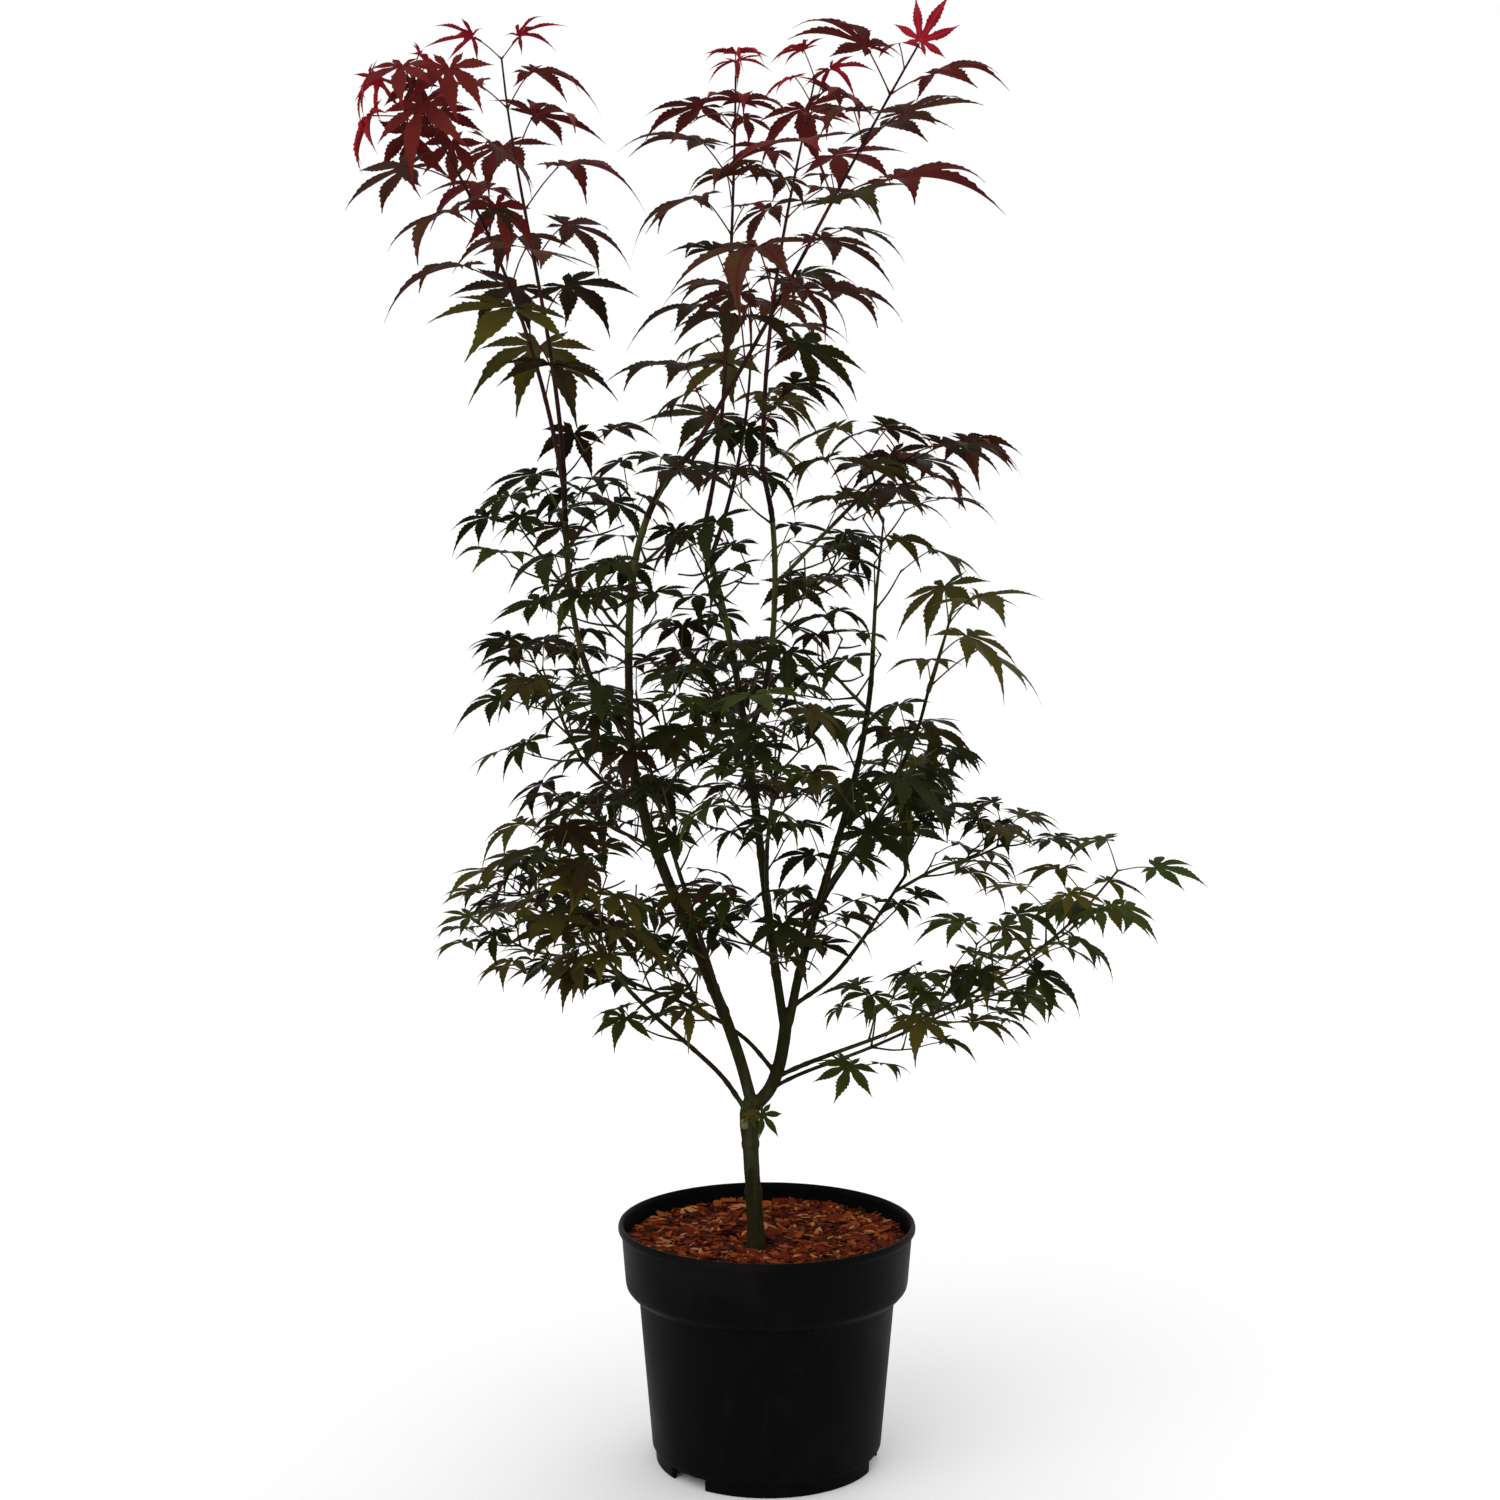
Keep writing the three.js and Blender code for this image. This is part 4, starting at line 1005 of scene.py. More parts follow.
def joined_mesh(name, facets, material, smooth=True):
    """One mesh object from gathered millimetre points, in metres."""
    points = np.concatenate(facets.points) * MM
    faces = np.concatenate(facets.faces).astype(np.int32)
    places = np.concatenate(facets.places)
    mesh = bpy.data.meshes.new(name)
    mesh.vertices.add(len(points))
    mesh.vertices.foreach_set("co", points.astype(np.float32).ravel())
    mesh.loops.add(faces.size)
    mesh.loops.foreach_set("vertex_index", faces.ravel())
    mesh.polygons.add(len(faces))
    mesh.polygons.foreach_set("loop_start", np.arange(0, faces.size, 3, dtype=np.int32))
    mesh.polygons.foreach_set("use_smooth", np.full(len(faces), smooth))
    mesh.update(calc_edges=True)
    layer = mesh.uv_layers.new(name="place")
    layer.data.foreach_set("uv", places[faces.ravel()].astype(np.float32).ravel())
    mesh.materials.append(material)
    return linked_object(name, mesh)


def smooth_line(points, parts):
    """More points on a smooth curve through the given ones, with so many parts to each run."""
    points = np.array(points, float)
    first = 2 * points[0] - points[1]
    last = 2 * points[-1] - points[-2]
    held = np.concatenate([[first], points, [last]])
    share = np.arange(parts)[:, None] / parts
    runs = []
    for a, b, c, d in zip(held, held[1:], held[2:], held[3:]):
        runs.append(
            0.5
            * (
                2 * b
                + (c - a) * share
                + (2 * a - 5 * b + 4 * c - d) * share**2
                + (3 * b - a - 3 * c + d) * share**3
            )
        )
    return np.concatenate([*runs, [points[-1]]])


def rings_along(points, sides):
    """Directions round a line at each of its points, carried along it without twist."""
    normals = np.gradient(points, axis=0)
    normals /= np.linalg.norm(normals, axis=1)[:, None]
    side = np.array((1.0, 0.0, 0.0)) if abs(normals[0][2]) > 0.9 else UP
    angles = 2 * np.pi * np.arange(sides) / sides
    rings = []
    for normal in normals:
        side = unit(side - normal * side.dot(normal))
        across = np.cross(normal, side)
        rings.append(np.outer(np.cos(angles), side) + np.outer(np.sin(angles), across))
    return np.array(rings)


def grid_corners(rows, sides):
    """Each face's first corner in rings of so many sides, and the next corner round the ring."""
    first = np.arange(rows - 1)[:, None] * sides
    corner = np.arange(sides)
    return (first + corner).ravel(), (first + (corner + 1) % sides).ravel()


def tube(facets, points, radii, sides):
    """Adds a closed tube. Radii has one value to a ring, or one to each point of it."""
    rings = rings_along(points, sides)
    radii = np.asarray(radii, float)
    if radii.ndim == 1:
        radii = np.repeat(radii[:, None], sides, axis=1)
    body = points[:, None, :] + rings * radii[:, :, None]
    count = len(points)
    low, after = grid_corners(count, sides)
    corner = np.arange(sides)
    turned_on = (corner + 1) % sides
    top = (count - 1) * sides
    foot, tip = count * sides, count * sides + 1
    faces = np.concatenate(
        [
            np.stack([low, after, after + sides], 1),
            np.stack([low, after + sides, low + sides], 1),
            np.stack([turned_on, corner, np.full(sides, foot)], 1),
            np.stack([top + corner, top + turned_on, np.full(sides, tip)], 1),
        ]
    )
    run = np.concatenate([[0], np.cumsum(np.linalg.norm(np.diff(points, axis=0), axis=1))])
    places = np.stack(
        [np.tile(np.arange(sides) / sides, count), np.repeat(run * 0.01, sides)], axis=1
    )
    places = np.concatenate([places, [[0, 0], [0, run[-1] * 0.01]]])
    body = np.concatenate([body.reshape(-1, 3), [points[0], points[-1]]])
    facets.add(body, faces, places)


def turned(profile, sides):
    """Points and quads of a profile turned about the upright axis, as a closed ring."""
    angles = 2 * np.pi * np.arange(sides) / sides
    points = [
        (radius * math.cos(angle), radius * math.sin(angle), height)
        for radius, height in profile
        for angle in angles
    ]
    faces = []
    for row in range(len(profile)):
        low = row * sides
        high = (row + 1) % len(profile) * sides
        for side in range(sides):
            turn = (side + 1) % sides
            faces.append((low + side, low + turn, high + turn, high + side))
    return points, faces


def rounded(profile, radius, parts=4):
    """The profile with each corner rounded off, within half of its shorter side."""
    smooth = []
    count = len(profile)
    for index, corner in enumerate(profile):
        here = np.array(corner, float)
        before = np.array(profile[index - 1], float)
        after = np.array(profile[(index + 1) % count], float)
        back = np.linalg.norm(before - here)
        ahead = np.linalg.norm(after - here)
        cut = min(radius, 0.45 * back, 0.45 * ahead)
        start = here + (before - here) * cut / back
        end = here + (after - here) * cut / ahead
        for part in range(parts + 1):
            share = part / parts
            smooth.append(
                tuple(start * (1 - share) ** 2 + here * 2 * share * (1 - share) + end * share**2)
            )
    return smooth


def place_piece(piece, slot, *nodes):
    """The piece rides with the plant and stands for CAD nodes. The slot is not used."""
    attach(piece, "root")
    if nodes:
        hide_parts(*nodes)
    return piece


# ---- Finishes -----------------------------------------------------------------------------


class Finish:
    """A material with a few helpers for its nodes."""

    def __init__(self, name, colour, roughness, specular):
        self.material = bpy.data.materials.new(name)
        self.material.use_nodes = True
        self.material.diffuse_color = (*colour, 1)
        self.nodes = self.material.node_tree.nodes
        self.links = self.material.node_tree.links
        self.shader = self.nodes["Principled BSDF"]
        self.shader.inputs["Base Color"].default_value = (*colour, 1)
        self.shader.inputs["Roughness"].default_value = roughness
        self.shader.inputs["Specular IOR Level"].default_value = specular

    def fill(self, socket, value):
        """Joins a socket to another node, or sets its own value."""
        if isinstance(value, bpy.types.NodeSocket):
            self.links.new(value, socket)
        else:
            socket.default_value = (*value, 1) if socket.type == "RGBA" else value

    def add(self, kind, **inputs):
        """A node of a kind, with its inputs filled by name."""
        node = self.nodes.new(kind)
        for name, value in inputs.items():
            self.fill(node.inputs[name.replace("_", " ")], value)
        return node

    def coordinates(self, stretch=(1, 1, 1), kind="Object"):
        """The place on the piece, stretched."""
        source = self.nodes.new("ShaderNodeTexCoord")
        mapping = self.add("ShaderNodeMapping", Vector=source.outputs[kind], Scale=stretch)
        return mapping.outputs["Vector"]

    def noise(self, scale, detail=4, stretch=(1, 1, 1), kind="Object", roughness=0.55):
        """Cloudy noise, finer as the scale grows."""
        node = self.add(
            "ShaderNodeTexNoise",
            Vector=self.coordinates(stretch, kind),
            Scale=scale,
            Detail=detail,
            Roughness=roughness,
        )
        return node.outputs["Fac"]

    def ramp(self, factor, *stops):
        """A colour ramp through (place, colour) stops."""
        node = self.add("ShaderNodeValToRGB", Fac=factor)
        ramp = node.color_ramp
        while len(ramp.elements) < len(stops):
            ramp.elements.new(0.5)
        for element, (place, colour) in zip(ramp.elements, stops):
            element.position = place
            element.color = (*colour, 1)
        return node.outputs["Color"]

    def blend(self, factor, first, second):
        """The first colour turning to the second as the factor grows."""
        node = self.nodes.new("ShaderNodeMix")
        node.data_type = "RGBA"
        for socket, value in ((0, factor), (6, first), (7, second)):
            self.fill(node.inputs[socket], value)
        return node.outputs[2]

    def span(self, value, low, high, start=0.0, end=1.0):
        """The value carried from one span to another, held at the ends."""
        node = self.add(
            "ShaderNodeMapRange",
            Value=value, From_Min=low, From_Max=high, To_Min=start, To_Max=end,
        )
        return node.outputs["Result"]

    def calculate(self, operation, first, second=0.0):
        """One step of arithmetic on two values."""
        node = self.nodes.new("ShaderNodeMath")
        node.operation = operation
        self.fill(node.inputs[0], first)
        self.fill(node.inputs[1], second)
        return node.outputs[0]

    def colour(self, socket):
        self.links.new(socket, self.shader.inputs["Base Color"])

    def roughness(self, socket):
        self.links.new(socket, self.shader.inputs["Roughness"])

    def bump(self, height, strength, distance):
        node = self.add("ShaderNodeBump", Height=height, Strength=strength, Distance=distance)
        self.links.new(node.outputs["Normal"], self.shader.inputs["Normal"])


def shade(colour, factor):
    """The colour made darker or lighter."""
    return tuple(min(1.0, channel * factor) for channel in colour)


def plastic_finish(colour):
    """Matt black moulded plastic with faint scuffs and flow lines down the wall."""
    finish = Finish("pot_plastic", colour, 0.5, 0.03)
    scuffs = finish.noise(60, 6, (1, 1, 0.35))
    dust = finish.noise(9, 5)
    worn = finish.span(scuffs, 0.56, 0.78)
    tone = finish.blend(worn, colour, shade(colour, 1.9))
    dusty = finish.span(dust, 0.55, 0.8, 0.0, 0.5)
    finish.colour(finish.blend(dusty, tone, (0.011, 0.0095, 0.0085)))
    finish.roughness(finish.span(dust, 0.3, 0.7, 0.42, 0.62))
    grain = finish.noise(1400, 2)
    lines = finish.noise(90, 3, (1, 1, 0.04))
    height = finish.calculate("ADD", grain, finish.calculate("MULTIPLY", lines, 1.5))
    finish.bump(height, 0.25, 0.0004)
    return finish.material


def compost_finish():
    """Dark crumbly compost."""
    finish = Finish("compost_crumb", (0.022, 0.012, 0.008), 0.95, 0.1)
    crumbs = finish.noise(260, 8)
    finish.colour(
        finish.ramp(crumbs, (0.35, (0.010, 0.006, 0.004)), (0.6, (0.032, 0.018, 0.011)))
    )
    finish.bump(crumbs, 0.9, 0.003)
    return finish.material


def chip_finish(name, colour):
    """Torn bark and wood: long fibres with darker seams."""
    finish = Finish(name, colour, 0.85, 0.03)
    fibres = finish.noise(3, 5, (2, 14, 1), "UV")
    patches = finish.noise(130, 4)
    tone = finish.blend(finish.span(fibres, 0.42, 0.62), shade(colour, 0.5), shade(colour, 1.35))
    finish.colour(finish.blend(finish.span(patches, 0.35, 0.7), tone, shade(colour, 0.8)))
    finish.bump(fibres, 0.6, 0.0006)
    return finish.material


def old_bark_finish(colour):
    """Dark olive bark with paler patches, fine lengthwise cracks and pale breathing dots."""
    finish = Finish("old_bark", colour, 0.75, 0.02)
    patches = finish.noise(38, 5, (1, 1, 0.45))
    cracks = finish.noise(210, 6, (1, 1, 0.12), roughness=0.65)
    dots = finish.add(
        "ShaderNodeTexVoronoi", Vector=finish.coordinates((1, 1, 2.4)), Scale=170
    ).outputs["Distance"]
    tone = finish.ramp(
        patches,
        (0.30, shade(colour, 0.62)),
        (0.52, colour),
        (0.70, (0.045, 0.047, 0.019)),
    )
    tone = finish.blend(finish.span(cracks, 0.36, 0.50, 0.75, 0.0), tone, (0.010, 0.009, 0.005))
    tone = finish.blend(finish.span(dots, 0.05, 0.13, 0.55, 0.0), tone, (0.075, 0.068, 0.038))
    finish.colour(tone)
    sunk = finish.span(dots, 0.0, 0.2, 0.0, 0.3)
    finish.bump(finish.calculate("SUBTRACT", cracks, sunk), 0.55, 0.0009)
    return finish.material


def stem_finish(name, colour, warm):
    """Smooth young bark, streaked lengthwise and flushed with red in patches."""
    finish = Finish(name, colour, 0.6, 0.03)
    streaks = finish.noise(150, 4, (1, 1, 0.10))
    flush = finish.noise(16, 3)
    tone = finish.blend(finish.span(streaks, 0.35, 0.66), shade(colour, 0.6), shade(colour, 1.5))
    finish.colour(finish.blend(finish.span(flush, 0.50, 0.66, 0.0, 0.65), tone, warm))
    finish.roughness(finish.span(streaks, 0.3, 0.7, 0.48, 0.68))
    finish.bump(streaks, 0.4, 0.0005)
    return finish.material


def leaf_finish(name, colour, patch, rib):
    """A leaf: midrib and side veins, patches turned to another tint, a slight waxy gloss."""
    finish = Finish(name, colour, 0.7, 0.008)
    patches = finish.noise(24, 4)
    grain = finish.noise(420, 3)
    tone = finish.blend(finish.span(patches, 0.36, 0.66), shade(colour, 0.75), patch)
    tone = finish.blend(finish.span(grain, 0.3, 0.7, 0.0, 0.35), tone, shade(colour, 0.7))
    place = finish.nodes.new("ShaderNodeUVMap")
    place.uv_map = "place"
    split = finish.add("ShaderNodeSeparateXYZ", Vector=place.outputs["UV"])
    off_middle = finish.calculate("SUBTRACT", split.outputs["Y"], 0.5)
    across = finish.calculate("ABSOLUTE", off_middle)
    swept = finish.calculate("MULTIPLY", across, 0.22)
    along = finish.calculate("SUBTRACT", split.outputs["X"], swept)
    wave = finish.calculate("SINE", finish.calculate("MULTIPLY", along, 88))
    veins = finish.span(wave, 0.72, 1.0, 0.0, 0.35)
    midrib = finish.span(across, 0.02, 0.07, 0.85, 0.0)
    tone = finish.blend(veins, tone, rib)
    finish.colour(finish.blend(midrib, tone, rib))
    finish.roughness(finish.span(patches, 0.3, 0.7, 0.44, 0.62))
    sunk = finish.calculate("MULTIPLY", veins, -1.0)
    height = finish.calculate("ADD", sunk, finish.calculate("MULTIPLY", grain, 0.5))
    finish.bump(height, 0.35, 0.0006)
    return finish.material


def stalk_finish(name, colour):
    """A thin leaf stalk or green twig, a little streaked."""
    finish = Finish(name, colour, 0.55, 0.03)
    streaks = finish.noise(60, 3)
    finish.colour(
        finish.blend(finish.span(streaks, 0.35, 0.65), shade(colour, 0.6), shade(colour, 1.4))
    )
    finish.bump(streaks, 0.2, 0.0003)
    return finish.material


# ---- Pot, compost and mulch ---------------------------------------------------------------


# The middle of the foot ring, and where its notches stand round it.
FOOT_RADIUS = 103.5
NOTCH_TURNS = (-44, 76, 196)


class MAPLE_OT_pot(Operator):
    """Turn the black nursery pot with its rolled lip, stepped collar and notched foot."""

    bl_idname = "maple.pot"
    bl_label = "Nursery pot"

    def execute(self, context):
        sizes = context.scene.maple_pot
        rim = sizes.height / MM
        lip = sizes.lip_radius / MM
        wall = sizes.wall / MM
        # Radius and height of each corner: up the outside from the base, then down the inside.
        outside = [
            (0.5, 0.0), (30, 0.0), (33, 10), (98, 10), (101.5, 0.0), (104.5, 0.0), (105, 13),
            (108, 14), (120.5, 157), (127.5, 160.5), (132, 166), (133, 171),
            (lip - 3.3, rim - 8), (lip - 0.4, rim - 7), (lip, rim - 3.5), (lip - 1.2, rim),
        ]
        inside = [
            (lip - 3.9, rim), (lip - 3.3 - wall, rim - 4), (133 - wall, 172),
            (120.5 - wall, 160), (108 - wall, 16), (101.5, 13), (0.5, 13),
        ]
        points, faces = turned(rounded(outside + inside, 1.6), sizes.sides)
        mesh = bpy.data.meshes.new("nursery_pot")
        mesh.from_pydata([tuple(c * MM for c in point) for point in points], [], faces)
        mesh.update()
        pot = linked_object("nursery_pot", mesh)
        self.cut_notches(pot)
        pot.data.shade_smooth()
        pot.data.materials.append(plastic_finish(tuple(sizes.plastic)))
        place_piece(pot, "pot_plastic", "pot")
        return {"FINISHED"}

    def cut_notches(self, pot):
        """Cuts the three notches out of the foot ring."""
        corners = [(x, y, z) for x in (-20.5, 20.5) for y in (-6, 6) for z in (-11.4, 10.6)]
        sides = [(0, 1, 3, 2), (4, 6, 7, 5), (0, 4, 5, 1), (2, 3, 7, 6), (0, 2, 6, 4), (1, 5, 7, 3)]
        points, faces = [], []
        for angle in NOTCH_TURNS:
            faces += [tuple(corner + len(points) for corner in side) for side in sides]
            for x, y, z in corners:
                out = FOOT_RADIUS - y
                points.append(
                    (
                        (x * cos(angle) + out * sin(angle)) * MM,
                        (x * sin(angle) - out * cos(angle)) * MM,
                        z * MM,
                    )
                )
        mesh = bpy.data.meshes.new("notches")
        mesh.from_pydata(points, [], faces)
        cutter = linked_object("notches", mesh)
        cut = pot.modifiers.new("notches", "BOOLEAN")
        cut.operation = "DIFFERENCE"
        cut.object = cutter
        pot.data = applied_mesh(pot)
        pot.modifiers.clear()
        bpy.data.objects.remove(cutter)


class MAPLE_OT_compost(Operator):
    """Finish the compost that fills the pot under the mulch."""

    bl_idname = "maple.compost"
    bl_label = "Compost"

    def execute(self, context):
        node = frame["nodes"]["compost"]
        node.data.materials.clear()
        node.data.materials.append(compost_finish())
        return {"FINISHED"}


# The mulch's mean height and the radius that the chips keep within, and the bare ring that
# they leave round the trunk.
MULCH_HEIGHT = 209.5
MULCH_RADIUS = 131
TRUNK_CLEAR = 10


def bark_height(x, y):
    """Height of the mulch's uneven surface, with a dip round the trunk's foot."""
    waves = np.sin(0.09 * x + 1.3) * np.cos(0.075 * y) + 0.6 * np.sin(0.16 * (x - y))
    away = np.hypot(x - TRUNK_FOOT[0], y - TRUNK_FOOT[1])
    return MULCH_HEIGHT + 0.96 * waves - 5 * np.exp(-((away / 20) ** 2))


def mulch_bed():
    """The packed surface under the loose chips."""
    facets = Facets()
    rings, sides = 66, 160
    radii = np.linspace(2, MULCH_RADIUS + 1.3, rings)
    angles = 2 * np.pi * np.arange(sides) / sides
    x = np.outer(radii, np.cos(angles)).ravel()
    y = np.outer(radii, np.sin(angles)).ravel()
    rough = np.random.default_rng(71).normal(0, 0.35, x.shape)
    z = bark_height(x, y) - 1.6 + rough + 0.5 * np.sin(0.7 * x + 0.3 * y) * np.sin(0.5 * y)
    points = np.stack([x, y, z], 1)
    points = np.concatenate([points, [[0, 0, float(bark_height(0.0, 0.0)) - 1.6]]])
    inner, after = grid_corners(rings, sides)
    corner = np.arange(sides)
    faces = np.concatenate(
        [
            np.stack([inner, inner + sides, after + sides], 1),
            np.stack([inner, after + sides, after], 1),
            np.stack([np.full(sides, rings * sides), corner, (corner + 1) % sides], 1),
        ]
    )
    facets.add(points, faces, points[:, :2] * 0.02)
    return facets


def chip_pattern(random):
    """One torn chip of unit length: a flat, pointed sliver with a ragged outline."""
    stations = 5
    points, places = [], []
    for station in range(stations):
        along = station / (stations - 1) - 0.5
        width = (0.5 - 0.40 * abs(2 * along) ** 2.2) * random.uniform(0.75, 1.2)
        skew = random.uniform(-0.12, 0.12)
        lift = random.uniform(-0.1, 0.1)
        for side, height in ((-1, -0.5), (-1, 0.5), (1, 0.5), (1, -0.5)):
            points.append((along, side * width + skew, height * random.uniform(0.7, 1.1) + lift))
            places.append((station / stations, 0.5 + side * 0.5 * abs(height)))
    faces = []
    for station in range(stations - 1):
        for side in range(4):
            a = station * 4 + side
            b = station * 4 + (side + 1) % 4
            faces += [(a, b, b + 4), (a, b + 4, a + 4)]
    top = (stations - 1) * 4
    faces += [(0, 2, 1), (0, 3, 2), (top, top + 1, top + 2), (top, top + 2, top + 3)]
    return np.array(points), np.array(faces)[:, ::-1], np.array(places)


# The chips' tones: colour, and share of the chips.
CHIP_TONES = {
    "rust": ((0.135, 0.020, 0.005), 0.40),
    "orange": ((0.290, 0.064, 0.013), 0.22),
    "brown": ((0.042, 0.008, 0.004), 0.29),
    "pale": ((0.470, 0.190, 0.070), 0.09),
}


class MAPLE_OT_mulch(Operator):
    """Spread the bark mulch: a packed bed with loose chips of four tones on it."""

    bl_idname = "maple.mulch"
    bl_label = "Bark mulch"

    def execute(self, context):
        bed = joined_mesh("mulch_bed", mulch_bed(), chip_finish("bed_bark", (0.070, 0.014, 0.005)))
        place_piece(bed, "bark_chips", "bark_mulch")
        random = np.random.default_rng(72)
        patterns = [chip_pattern(random) for _ in range(24)]
        gathered = {tone: Facets() for tone in CHIP_TONES}
        tones = list(CHIP_TONES)
        weights = [CHIP_TONES[tone][1] for tone in tones]
        for _ in range(context.scene.maple_pot.chips):
            away = MULCH_RADIUS * math.sqrt(random.uniform(0, 1))
            angle = random.uniform(0, 2 * math.pi)
            length = min(27, 5.5 + random.exponential(6.0))
            away = min(away, MULCH_RADIUS + 0.5 - length / 2)
            x, y = away * math.cos(angle), away * math.sin(angle)
            if math.hypot(x - TRUNK_FOOT[0], y - TRUNK_FOOT[1]) < TRUNK_CLEAR + length * 0.5:
                continue
            width = length * random.uniform(0.18, 0.50) + 1.0
            thick = random.uniform(0.5, 1.5)
            turn = random.uniform(0, 360)
            tilt, roll = random.normal(0, 11), random.normal(0, 16)
            ahead = np.array((cos(turn) * cos(tilt), sin(turn) * cos(tilt), sin(tilt)))
            aside = unit(np.cross(UP, ahead))
            aside = turned_about(aside, ahead, roll)
            above = np.cross(ahead, aside)
            points, faces, places = patterns[random.integers(len(patterns))]
            middle = np.array((x, y, float(bark_height(x, y)) + random.uniform(-1.0, 0.9)))
            gathered[tones[random.choice(4, p=weights)]].add(
                middle
                + points[:, :1] * ahead * length
                + points[:, 1:2] * aside * width
                + points[:, 2:] * above * thick,
                faces,
                places,
            )
        for tone, facets in gathered.items():
            if facets.count:
                finish = chip_finish(f"{tone}_bark", CHIP_TONES[tone][0])
                chips = joined_mesh(f"{tone}_chips", facets, finish, smooth=False)
                place_piece(chips, "bark_chips", "bark_mulch")
        return {"FINISHED"}


# ---- Trunk and boughs ---------------------------------------------------------------------


# Sets of ridges round a limb: how many, how fast they change along it, and how strong.
BARK_RIDGES = (
    (2, 0.02, 1.0),
    (3, 0.05, 0.8),
    (5, 0.09, 0.6),
    (7, 0.16, 0.5),
    (4, 0.35, 0.5),
    (9, 0.5, 0.4),
)


def bark_relief(run, angles, random, amount):
    """How far the bark stands out at each ring and angle: ridges along it, ripples across."""
    relief = np.zeros((len(run), len(angles)))
    for count, pitch, share in BARK_RIDGES:
        phase = random.uniform(0, 2 * math.pi)
        bend = 1.3 * np.sin(run * pitch * 0.7 + random.uniform(0, 6))[:, None]
        relief += share * np.sin(count * angles[None, :] + bend + phase + run[:, None] * pitch * 0.3)
    ripple = 0.5 * np.sin(run * 1.9 + 2 * np.sin(run * 0.31))
    return amount * (0.45 * relief + ripple[:, None])


# A ringed node: how far it swells and its groove sinks, as shares of the radius, and how far
# along the limb each of the two reaches.
RING_SWELLING = 0.20
RING_GROOVE = 0.13
RING_REACH = 2.6
GROOVE_REACH = 0.7


def limb_tube(facets, line, radius_at, start, stop, sides, step, random, amount, nodes, joins=()):
    """One limb from start to stop along its line, with relief and ringed nodes.

    Joins are extra points past its ends, each with its distance along the limb.
    """
    fine = smooth_line(line.points, max(2, int(line.length / len(line.tangents) / step)))
    run = np.linspace(0, line.length, len(fine))
    keep = (run >= start) & (run <= stop)
    fine, run = fine[keep], run[keep]
    for distance, point in joins:
        before = distance < 0
        fine = np.concatenate([[point], fine] if before else [fine, [point]])
        run = np.concatenate([[distance], run] if before else [run, [distance]])
    angles = 2 * np.pi * np.arange(sides) / sides
    radii = np.array([radius_at(distance) for distance in run])
    for node in nodes:
        swelling = RING_SWELLING * np.exp(-(((run - node) / RING_REACH) ** 2))
        groove = RING_GROOVE * np.exp(-(((run - node) / GROOVE_REACH) ** 2))
        radii = radii * (1 + swelling - groove)
    relief = bark_relief(run, angles, random, amount)
    thin = np.clip(radii / 6, 0.25, 1)[:, None]
    tube(facets, fine, radii[:, None] + relief * thin, sides)


def node_places(line, gap, random):
    """Distances of a stem's nodes along it."""
    places = []
    distance = gap * random.uniform(0.5, 0.9)
    while distance < line.length - 8:
        places.append(distance)
        distance += gap * random.uniform(0.75, 1.3)
    return places


# The part of each limb that is one body with the fork, in millimetres from its foot.
FORK_REACH = {
    "trunk": 141,
    "left_stem": 96,
    "right_stem": 92,
    "centre_stem": 44,
    "rear_right_stem": 44,
    "low_left_front": 26,
    "low_left_rear": 22,
    "low_right_front": 22,
    "low_right_rear": 22,
    "right_arch": 20,
}

# How far a stem of a fork starts inside its parent, and runs out past its own end in the next.
FORK_ROOT = 22
FORK_END = 9


def limb_radius(name, distance):
    """A limb's radius, with a collar where it leaves its parent."""
    spec = trunk if name == "trunk" else boughs[name]
    past = max(0, distance - spec.length) / FORK_END
    fade = 1 - 0.85 * past
    if name == "trunk":
        shares, radii = zip(*trunk.profile)
        return fade * float(np.interp(distance / trunk.length, shares, radii))
    radius = fade * mix(spec.radii[0], spec.radii[1], distance / spec.length)
    if spec.aside:
        return radius * (1 + 0.35 * min(0, distance) / FORK_ROOT)
    parent = 7 if spec.parent == "trunk" else boughs[spec.parent].radii[0]
    return radius * (1 + 0.28 * math.exp(-((distance / (parent + 2.5)) ** 2)))


def fork_joins(limbs, name):
    """Points that carry a stem of a fork into its parent and into its own stems."""
    line = limbs[name]
    joins = []
    if name != "trunk" and boughs[name].aside:
        parent = limbs[boughs[name].parent]
        foot = boughs[name].at
        for back in (0.4 * FORK_ROOT, FORK_ROOT):
            share = back / FORK_ROOT
            aside = line.points[0] - parent.point(foot)
            joins.append((-back, parent.point(foot - back) + aside * (1 - share) ** 2))
    if name in ("trunk", "right_stem"):
        for past in (0.5 * FORK_END, FORK_END):
            joins.append((line.length + past, line.points[-1] + line.tangents[-1] * past))
    return joins


# The heights at which green bark turns fresh yellow-green, and then purple.
BARK_TURNS = (760, 880)

# The trunk's ringed nodes and its graft scar, as distances up it.
TRUNK_RINGS = (52, 58, 101)
SCAR_AT = 121


